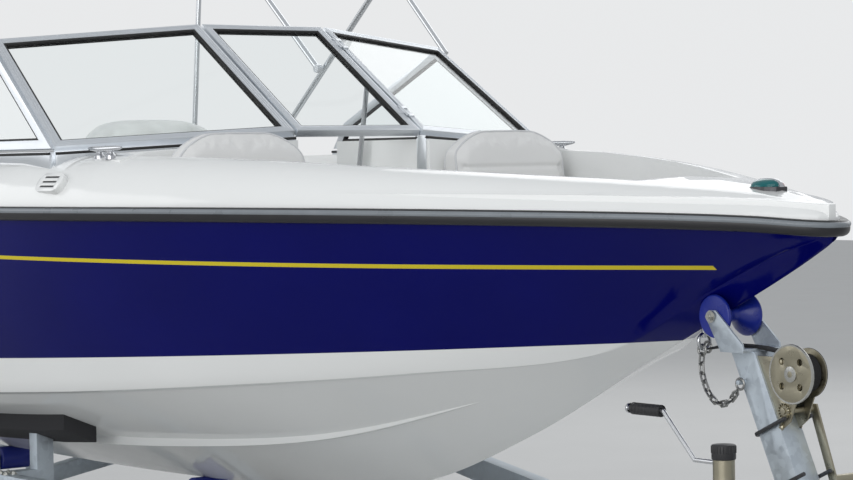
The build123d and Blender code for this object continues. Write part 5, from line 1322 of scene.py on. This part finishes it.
def make_steering():
    s, z = STEERING_CENTRE
    lay = lay_on(at(s, HELM_Y, z), (-math.cos(STEERING_RAKE), 0, math.sin(STEERING_RAKE)), PORT)
    column = Form()
    column.turned([(AXIS, -0.175), (0.058, -0.166), (0.056, -0.128), (0.036, -0.108), (0.028, -0.06),
                   (0.024, -0.014), (AXIS, -0.0125)], lay, 32)
    column.show("steering_column", [BLACK], 30, "black_plastic")
    grip = Form()
    grip.tube([lay @ polar(STEERING_RADIUS, a) for a in angles(96)],
              [0.0138 + 0.0012 * math.cos(4 * a) for a in angles(96)], 16, closed=True)
    section = ((-1, -0.3), (-0.8, -1), (0.8, -1), (1, -0.3), (1, 0.3), (0.8, 1), (-0.8, 1), (-1, 0.3))
    for k in range(3):
        a = math.radians(90 + 120 * k)
        out, side = polar(1, a), Vector((-math.sin(a), math.cos(a), 0))
        grip.sweep([[lay @ (out * r + side * (half * c) + Vector((0, 0, lift + thick * d))) for c, d in section]
                    for r, half, thick, lift in (
                        (0.026, 0.021, 0.006, 0.006), (0.06, 0.015, 0.0045, 0.004), (0.12, 0.0125, 0.0042, 0.002),
                        (0.158, 0.016, 0.0055, 0.0), (0.170, 0.022, 0.007, 0.0))], 1)
    grip.turned([(AXIS, -0.0115), (0.036, -0.011), (0.038, 0.004), (0.034, 0.012), (0.022, 0.0165), (AXIS, 0.0178)],
                lay, 40, 0)
    grip.turned([(0.019, 0.0172), (0.018, 0.0186), (AXIS, 0.0192)], lay, 32, 1)
    grip.show("steering_wheel_grip", [RUBBER_GRIP, STAINLESS], 40, "black_plastic", "helm_wheel", ["steering_wheel"])


# ---- fittings of the bow and the deck

def make_bow_light():
    foot = Form()
    plan = [(0.173, 0.019), (0.198, 0.039), (0.244, 0.039), (0.277, 0.021)]
    foot.bar([at(s, y, 1.50) for s, y in plan] + [at(s, -y, 1.50) for s, y in plan[::-1]], (0, 0, 0.0435))
    foot.show("bow_light_foot", [DARK_STEEL], 30, "stainless", replaces=["bow_light"], edge=0.002)
    dome = Form()
    places = [0.996 * (2 * (k / 12) - 1) for k in range(13)]
    for side, index in ((-1, 0), (1, 1)):
        rows = []
        for u in places:
            wide, high = 0.0365 * (1 - u * u) ** 0.5, 0.0215 * (1 - u * u) ** 0.35
            arc = [(0, 0)] + [(wide * math.cos(a), high * math.sin(a)) for a in angles(40)[:11]]
            rows.append([at(LAMP_S + 0.049 * u, side * y, LAMP_FOOT_TOP + z) for y, z in arc])
        dome.sweep(rows, index)
    rows = []
    for u in places:
        high = 0.0235 * (1 - u * u) ** 0.33
        rib = ((-0.0075, 0), (-0.0075, 0.92 * high), (-0.005, high), (0.005, high), (0.0075, 0.92 * high),
               (0.0075, 0))
        rows.append([at(LAMP_S + 0.051 * u, y, LAMP_FOOT_TOP + z) for y, z in rib])
    dome.sweep(rows, 2)
    dome.show("bow_light_lenses", [LENS_GREEN, LENS_RED, STAINLESS], 40, "stainless")


def make_deck_fittings():
    slots = Form()
    origin, out = deck_shoulder(HORN_S, HORN_IN)
    lay = lay_on(origin, out, AHEAD)
    for row in (-1, 0, 1):
        outline = []
        for a in angles(16):
            end = 0.0385 if math.cos(a) > 0 else -0.0385
            outline.append(lay @ (polar(0.0029, a, 0.0033) + Vector((end, row * 0.0165, 0))))
        slots.bar(outline, lay.to_3x3() @ Vector((0, 0, 0.0012)))
    slots.show("horn_slots", [BLACK], 40, "black_plastic")
    horns = Form()
    curve = ((-0.094, 0.0025), (-0.08, 0.0015), (-0.05, 0.0), (0, -0.0005), (0.05, 0.0), (0.08, 0.0015),
             (0.094, 0.0025))
    for s in CLEAT_STATIONS:
        for side in SIDES:
            y, z = side * (sheer_half(s) - CLEAT_IN), smooth(DECK_TABLE, 2, s) + 0.020
            horns.tube([at(s + x, y, z + lift) for x, lift in curve],
                       [0.0035, 0.0062, 0.0085, 0.0092, 0.0085, 0.0062, 0.0035], 16)
            for foot in (-0.032, 0.032):
                horns.turned([(AXIS, -0.012), (0.017, -0.010), (0.0165, 0.001), (0.012, 0.004), (0.0085, 0.012),
                              (AXIS, 0.016)], lay_on(at(s + foot, y, z - 0.0205), UP, AHEAD), 24)
    horns.show("cleat_horns", [STAINLESS], 40, "stainless", replaces=["cleats"])


def deck_shoulder(s, inboard):
    """A starboard point of the deck's shoulder, inboard of the sheer, and its outward direction."""
    shoulder, top = smooth(DECK_TABLE, 1, s), smooth(DECK_TABLE, 2, s)
    edge_y, lip = sheer_half(s), smooth(HULL_TABLE, 4, s) + DECK_LIP + 0.0003
    bend = (edge_y - 0.36 * shoulder, lip + 0.66 * (top - lip))
    curve = arc_points((edge_y, lip), bend, (edge_y - shoulder, top), 200)
    k = min(range(1, 200), key=lambda i: abs(edge_y - inboard - curve[i][0]))
    (y0, z0), (y1, z1) = curve[k - 1], curve[k + 1]
    return at(s, -curve[k][0], curve[k][1]), Vector((0, -(z1 - z0), -(y1 - y0))).normalized()


# ---- winch, strap, chain and jack

def make_winch():
    (s, z), (pinion_s, pinion_z) = DRUM, PINION
    lay = lay_on(at(s, 0, z), STARBOARD, AHEAD)
    rim = Form()
    rim.turned([(0.0715, 0.0335), (0.0745, 0.0332), (0.0755, 0.037), (0.0745, 0.0405), (0.0705, 0.0402),
                (0.0695, 0.0375)], lay, 72, closed=True)
    rim.turned([(0.020, 0.039), (0.020, 0.0425), (0.017, 0.0435), (AXIS, 0.0438)], lay, 32)
    rim.show("winch_rim", [ZINC], 30, "zinc")
    hub = Form()
    for side in SIDES[::-1]:
        for place, radius in ((DRUM, 0.019), (PINION, 0.016), ((0.155, 1.105), 0.009), ((0.155, 0.94), 0.009)):
            hub.turned([(radius, 0), (radius, 0.004), (radius - 0.003, 0.0065), (AXIS, 0.007)],
                       lay_on(at(place[0], side * 0.0312, place[1]), (0, side, 0), AHEAD), 24)
    hub.show("winch_bosses", [WINCH_ZINC], 30, "zinc")
    pinion = lay_on(at(pinion_s, -0.038, pinion_z), STARBOARD, AHEAD)
    ride_along(ring_of("winch_pinion", pinion, WINCH_ZINC, 14, 0.0165, (0.007, 0.004, 0.008)))
    gear = lay_on(at(s, -0.037, z), STARBOARD, AHEAD)
    ride_along(ring_of("winch_gear_teeth", gear, WINCH_ZINC, 64, 0.0725, (0.0042, 0.0028, 0.0058)))
    drum = Form()
    drum.turned([(0.0265, -0.0245), (0.060, -0.0243), (0.0628, -0.0262), (0.0628, -0.0272), (0.060, -0.029),
                 (0.0265, -0.029)], lay, 64, closed=True)
    for k in range(1, 16, 2):
        r = 0.0275 + 0.00135 * k
        layer = [(r, -0.0186), (r + 0.0013, -0.0189), (r + 0.0013, 0.0189), (r, 0.0186)]
        drum.turned(layer, lay, 48, 1, closed=True)
    drum.show("winch_drum_flange", [BLACK, WEBBING], 30, "black_plastic")
    clamp = Form()
    foot, head = Vector(POST_FOOT), Vector(POST_HEAD)
    run = (head - foot).normalized()
    lean = Vector((run.y, -run.x))
    half = ((0.075, 0.047), (0.02, 0.047), (-0.038, 0.047), (-0.0455, 0.0385), (-0.047, 0.02))
    for share in (0.30, 0.55):
        middle = foot.lerp(head, share)
        spots = [(middle - lean * out, -y) for out, y in half] + [(middle - lean * out, y) for out, y in half[::-1]]
        clamp.tube([at(spot.x, y, spot.y) for spot, y in spots], 0.0052, 12)
    clamp.show("winch_u_bolts", [DARK_STEEL], 50, "zinc")


def make_strap():
    """Webbing from the drum over the post's head to the ring in the bow eye, with its sewn end."""
    strap = Form()
    route = [(0.112, 1.1235), (0.150, 1.1262), (0.20, 1.1312), (0.2470, 1.1367), (0.2995, 1.1388), (0.350, 1.1388),
             (0.372, 1.1375), (0.41, 1.1290), (0.4415, 1.1238)]
    rows = []
    for i, (s, z) in enumerate(route):
        (s0, z0), (s1, z1) = route[max(i - 1, 0)], route[min(i + 1, len(route) - 1)]
        run = Vector((s1 - s0, z1 - z0)).normalized()
        half = WEB_HALF if s < 0.40 else WEB_HALF - (s - 0.40) * 0.2
        edge = half - 0.001
        section = ((-half, 0.0), (-edge, -0.0006), (edge, -0.0006), (half, 0.0), (half, 0.0042), (edge, 0.0048),
                   (-edge, 0.0048), (-half, 0.0042))
        rows.append([at(s + run.y * t, y, z - run.x * t) for y, t in section])
    strap.sweep(rows)
    strap.show("winch_webbing", [WEBBING], 40, "webbing", replaces=["winch_strap"])
    stitches = Form()
    for row in (-0.0095, 0, 0.0095):
        for k in range(9):
            s, z = 0.378 + 0.0052 * k, 1.1383 - 0.0012 * k
            stitches.tube([at(s, row, z - 0.0001), at(s + 0.0032, row, z - 0.0009)], 0.0006, 5)
    stitches.show("webbing_stitches", [VINYL_TRIM], 40, "webbing")


def make_jack():
    """Ribs round the cap, and the crank's rubber grip with its bright end."""
    ribs = ring_of("jack_cap_ribs", lay_on(at(JACK_S, JACK_Y, 0.888), UP, AHEAD), BLACK, 24, 0.0305,
                   (0.004, 0.003, 0.018))
    ride_along(round_edges(ribs, 0.0006))
    grip, tip = Form(), Form()
    lay = lay_on(at(GRIP_END, JACK_Y, GRIP_Z), AFT, PORT)
    for k in range(9):
        place = -0.014 - 0.0128 * k
        grip.turned([(0.0148, place - 0.0036), (0.0160, place - 0.0024), (0.0160, place + 0.0024),
                     (0.0148, place + 0.0036)], lay, 28, closed=True)
    grip.show("crank_grip_ribs", [RUBBER_GRIP], 30, "black_plastic")
    tip.turned([(AXIS, 0.0002), (0.0125, 0.0002), (0.0135, 0.0025), (0.0125, 0.0075), (0.009, 0.0095),
                (AXIS, 0.0098)], lay, 28)
    tip.show("crank_tip", [STAINLESS], 30, "zinc")


# ---- wheels

def make_wheel(side):
    name = "left" if side > 0 else "right"
    body = name + "_wheel"
    lay = lay_on(at(AXLE_S, side * TRACK_HALF, TYRE_RADIUS), (0, side, 0), AHEAD)
    carcass = Form()
    profile = [(0.1785, -0.070), (0.1815, -0.0745), (0.190, -0.0765), (0.205, -0.0805), (0.232, -0.0823),
               (0.255, -0.0815), (0.272, -0.0770), (0.2825, -0.0690), (0.2868, -0.0560), (0.2880, -0.0300),
               (0.2882, 0.0)]
    carcass.turned(profile + [(r, -w) for r, w in profile[-2::-1]], lay, 96)
    for bead in ([(0.2062, 0.0806), (0.2068, 0.0824), (0.2085, 0.0824), (0.2092, 0.0808)],
                 [(0.2432, 0.0818), (0.2440, 0.0824), (0.2466, 0.0823), (0.2472, 0.0815)]):
        carcass.turned(bead, lay, 96, closed=True)
    carcass.show("tyre_carcass_" + name, [TYRE], 40, "tyre", body, ["tyre_" + name])
    edge, inner, middle = (0.2771, 0.026, 0.35, 0.0), (0.2798, 0.024, -0.3, 0.5), (0.2798, 0.018, 0.25, 0.0)
    count, rows = 52, []
    for lift, (radius, wide, skew, start) in ((-0.0585, edge), (-0.0295, inner), (0.0, middle), (0.0295, inner),
                                              (0.0585, edge)):
        block = (0.0165, 0.0335, wide * 1.42)
        rows.append(ring_of("tread_" + name, lay, TYRE, count, radius, block, (skew, 0, math.pi / 4), lift,
                            start * FULL_TURN / count))
    tread = rows[0]
    for row in rows[1:]:
        join_meshes(tread, row)
    tread.name = "tyre_tread_" + name
    ride_along(tread, body)
    nuts = [(lay @ polar(NUT_RING, a, 0.0592), (0, side, 0)) for a in angles(5)]
    bolts("wheel_nuts_" + name, nuts, STAINLESS, body, (0.0075, 0.008, 0.009, 0.003))
    cap = Form()
    cap.turned([(0.0262, 0.069), (0.0268, 0.078), (0.0245, 0.086), (0.016, 0.0895), (AXIS, 0.0898)], lay, 40)
    cap.show("hub_cap_" + name, [STAINLESS], 30, "rim", body)


def join_meshes(first, second):
    """The second piece's mesh added to the first."""
    form = bmesh.new()
    form.from_mesh(first.data)
    form.from_mesh(second.data)
    form.to_mesh(first.data)
    form.free()
    bpy.data.objects.remove(second)


# ---- propeller, platform, engine and lamps

def blade_row(lay, turn, t):
    """A section of a propeller blade, at a share t of its length."""
    r = 0.040 + 0.127 * t
    chord = 0.085 * (0.55 + 1.55 * t - 1.1 * t * t) * (1 if t < 0.9 else max(0.25, (1 - t) * 10) ** 0.5)
    pitch = math.atan2(SCREW_PITCH, FULL_TURN * r)
    thick = 0.0062 * (1 - 0.78 * t)
    top = ((-0.8, 0.6), (-0.4, 0.95), (0, 1), (0.4, 0.85), (0.8, 0.4))
    row = []
    for u, w in ((-1, 0), *top, (1, 0), (0.8, -0.4), (0.4, -0.85), (0, -1), (-0.4, -0.95), (-0.8, -0.6)):
        round_way = u * chord / 2 * math.cos(pitch) - w * thick / 2 * math.sin(pitch)
        along_way = u * chord / 2 * math.sin(pitch) + w * thick / 2 * math.cos(pitch) + 0.012 * t
        along_way = max(-0.047, min(0.047, along_way))
        row.append(lay @ polar(r, turn + round_way / r + 0.22 * t * t, along_way))
    return row


def make_propeller():
    lay = lay_on(at(*SCREW_PLACE), AFT, PORT)
    screw = Form()
    screw.turned([(0.0126, -0.048), (0.030, -0.0478), (0.0425, -0.044), (0.0445, -0.030), (0.0435, 0.0),
                  (0.041, 0.03), (0.0385, 0.047), (0.036, 0.0498), (0.0126, 0.0498)], lay, 48, closed=True)
    screw.turned([(0.0126, 0.0500), (0.027, 0.0502), (0.0265, 0.062), (0.0215, 0.0655), (0.021, 0.086),
                  (0.0165, 0.0895), (0.0125, 0.0905), (0.0122, 0.107), (0.010, 0.1098), (AXIS, 0.110)], lay, 32)
    for turn in angles(3):
        screw.sweep([blade_row(lay, turn, i / 12) for i in range(13)])
    screw.show("propeller_blades", [STAINLESS], 50, "stainless", "screw", ["propeller"])


def make_platform():
    pads, trim = Form(), Form()
    flat_pads(pads, [(5.245, 5.565, y0, y1, 1.2715) for y0, y1 in ((-0.66, -0.25), (-0.21, 0.21), (0.25, 0.66))],
              0.03, 0.0032)
    pads.show("platform_pads", [NON_SKID], 30, "deck_gelcoat", edge=0.001)
    edge = [(s, -y) for s, y in PLATFORM_EDGE] + list(PLATFORM_EDGE[::-1])
    trim.tube([at(s - 0.0005, y * 0.9985, 1.243) for s, y in edge], 0.009, 12)
    trim.show("platform_edge", [RAIL_BLACK], 50, "rub_rail")


def make_engine():
    blocks, runners = Form(), Form()
    for side in SIDES:
        rows = []
        for s in ENGINE_COVER:
            inset = 0.006 if s in (ENGINE_COVER[0], ENGINE_COVER[-1]) else 0.0
            section = ((0.075 + inset, 1.320), (0.085 + inset, 1.350 - inset), (0.12, 1.372 - inset),
                       (0.20, 1.368 - inset), (0.235 - inset, 1.345 - inset), (0.24 - inset, 1.320))
            rows.append([at(s, side * y, z) for y, z in section])
        blocks.sweep(rows)
    blocks.turned([(AXIS, 0.0), (0.085, 0.0), (0.09, 0.006), (0.09, 0.032), (0.085, 0.038), (0.02, 0.042),
                   (AXIS, 0.043)], lay_on(at(4.76, 0, 1.3305), UP, AHEAD), 40)
    blocks.show("engine_covers", [ENGINE], 40, "engine_paint")
    for s in (4.60, 4.70, 4.80, 4.90):
        for side in SIDES:
            pipe = ((0.082, 1.326), (0.066, 1.352), (0.03, 1.362), (0, 1.364))
            runners.tube([at(s, side * y, z) for y, z in pipe], 0.015, 14)
    runners.show("engine_runners", [ZINC], 40, "zinc")
    places = [(at(s, side * 0.16, 1.3715), UP) for s in (4.56, 4.70, 4.84) for side in SIDES]
    bolts("engine_bolts", places, STAINLESS, sizes=(0.007, 0.005, 0.010, 0.002))


def make_lamps():
    low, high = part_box("rear_lamps")
    panes = Form()
    x, z0, z1 = low.x + 0.0012, low.z + 0.012, high.z - 0.012
    for side in SIDES:
        for k, shares in enumerate(((0.0, 0.33), (0.35, 0.64), (0.66, 1.0))):
            ya, yb = (side * (high.y - 0.012 - 0.076 * share) for share in shares)
            panes.bar([(x, ya, z0), (x, yb, z0), (x, yb, z1), (x, ya, z1)], (-0.0012, 0, 0), k)
    panes.show("lamp_lenses", [LENS_AMBER, LENS_RED, LENS_RED], 30, "lamp_red")


def make_bolts():
    """Bolts where the trailer's tubes and brackets meet."""
    places = [(at(s + off, side * (RAIL_Y + shift), TUBE_TOP), UP) for s in (2.9, 4.3, 5.08) for side in SIDES
              for off in (-0.018, 0.018) for shift in (-0.015, 0.012)]
    places += [(at(s, side * 0.7855, 0.60), (0, side, 0)) for s in (3.33, 3.91) for side in SIDES]
    places += [(at(s, off, TUBE_TOP), UP) for s in (0.86, 0.70) for off in (-0.022, 0.022)]
    bolts("frame_bolts", places, ZINC)
    post = [(0.055 + (z - 0.64) * 0.468, 0.0382, z) for z in (0.675, 0.715)] + [(0.362, 0.0722, 1.212)]
    places = [(at(s, side * y, z), (0, side, 0)) for s, y, z in post for side in SIDES]
    bolts("post_bolts", places, ZINC, sizes=(0.011, 0.009, 0.016, 0.003))
    coupler = [(at(s, side * 0.0422, 0.605), (0, side, 0)) for s in (-0.80, -0.74) for side in SIDES]
    bolts("coupler_bolts", coupler, ZINC)


make_hull()
make_rub_rail()
make_windshield()
make_bow_seats()
make_helm_seats()
make_stern_seat()
make_sun_pad()
make_sole()
make_dash()
make_steering()
make_bow_light()
make_deck_fittings()
make_winch()
make_strap()
make_jack()
for side in SIDES:
    make_wheel(side)
make_propeller()
make_platform()
make_engine()
make_lamps()
make_bolts()

EDGE_WIDTHS = {
    0: "bow_eye walkthrough_pole sun_top_main_bow sun_top_rear_bow sun_top_braces sun_top_rear_poles jack_tube",
    0.001: "sun_top_mounts trim_barrels trim_rods winch",
    0.0012: "horn_cover",
    0.0015: "windshield_frame walkthrough_window",
    0.002: "rollers axle_and_springs wheel_left wheel_right mudguards jack_leg rear_lamps",
    0.003: "deck_and_liner side_rails drawbar cross_members winch_post coupler jack_cap_and_grip",
    0.004: "transom_bracket steering_yoke bunks",
    0.006: "seat_boxes engine_hatch sterndrive_leg",
    0.008: "swim_platform",
    0.02: "engine",
}
for width, nodes in EDGE_WIDTHS.items():
    for node in nodes.split():
        soften(node, width)


# ---- camera, floor and light

def set_camera():
    turn, dip, roll = (math.radians(v) for v in (CAMERA_TURN, CAMERA_DIP, CAMERA_ROLL))
    level_right = Vector((math.cos(turn), math.sin(turn), 0))
    level_ahead = Vector((-math.sin(turn), math.cos(turn), 0))
    ahead = level_ahead * math.cos(dip) - Vector((0, 0, math.sin(dip)))
    up = Vector((0, 0, math.cos(dip))) + level_ahead * math.sin(dip)
    right = level_right * math.cos(roll) - up * math.sin(roll)
    top = level_right * math.sin(roll) + up * math.cos(roll)
    camera = make_object("camera", bpy.data.cameras.new("camera"))
    turned = Matrix((right, top, -ahead)).transposed().to_4x4()
    camera.matrix_world = Matrix.Translation(CAMERA_PLACE) @ turned
    camera.data.sensor_width = 36
    camera.data.lens = CAMERA_LENS
    camera.data.clip_end = 200
    bpy.context.scene.camera = camera


def set_floor():
    half = 30.0
    look = Look("floor_grey", (0.62, 0.62, 0.61), 0.8)
    look.give("Base Color", look.tint(look.noise(2.0), (0.60, 0.60, 0.59), (0.64, 0.64, 0.63)))
    mesh = bpy.data.meshes.new("floor")
    mesh.from_pydata([(-half, -half, 0), (half, -half, 0), (half, half, 0), (-half, half, 0)], [], [(0, 1, 2, 3)])
    mesh.materials.append(look.material)
    make_object("floor", mesh)


def area_light(name, place, aim, size, watts):
    light = bpy.data.lights.new(name, "AREA")
    light.shape = "RECTANGLE"
    light.size, light.size_y = size
    light.energy = watts
    lamp = make_object(name, light)
    lamp.location = place
    lamp.rotation_euler = (Vector(aim) - Vector(place)).to_track_quat("-Z", "Y").to_euler()


def set_light():
    """Soft studio lamps, and a world that looks brighter than it lights."""
    world = bpy.data.worlds.new("studio")
    bpy.context.scene.world = world
    world.use_nodes = True
    tree = world.node_tree
    soft = tree.nodes["Background"]
    soft.inputs["Color"].default_value = (0.93, 0.96, 1.0, 1)
    soft.inputs["Strength"].default_value = 0.58
    seen = add(tree, "ShaderNodeBackground", {"Color": (0.9, 0.91, 0.92, 1), "Strength": 0.9})
    path = tree.nodes.new("ShaderNodeLightPath").outputs
    shows = maths(tree, "MAXIMUM", path["Is Camera Ray"], path["Is Transmission Ray"])
    skies = {"Fac": shows, 1: soft.outputs["Background"], 2: seen.outputs["Background"]}
    mix = add(tree, "ShaderNodeMixShader", skies)
    feed(tree, tree.nodes["World Output"].inputs["Surface"], mix.outputs["Shader"])
    area_light("key", (7.0, -6.0, 8.0), (0.5, 0, 1.0), (10, 8), 260)
    area_light("side", (5.5, -9.0, 2.8), (0.5, 0, 1.2), (10, 4), 260)
    area_light("fill", (-7.0, -7.0, 5.0), (-1.0, 0, 1.0), (8, 5), 160)
    area_light("back", (-3.0, 8.0, 6.0), (0, 0, 1.0), (10, 6), 200)


set_camera()
set_floor()
set_light()
bpy.context.scene.view_settings.view_transform = "Standard"
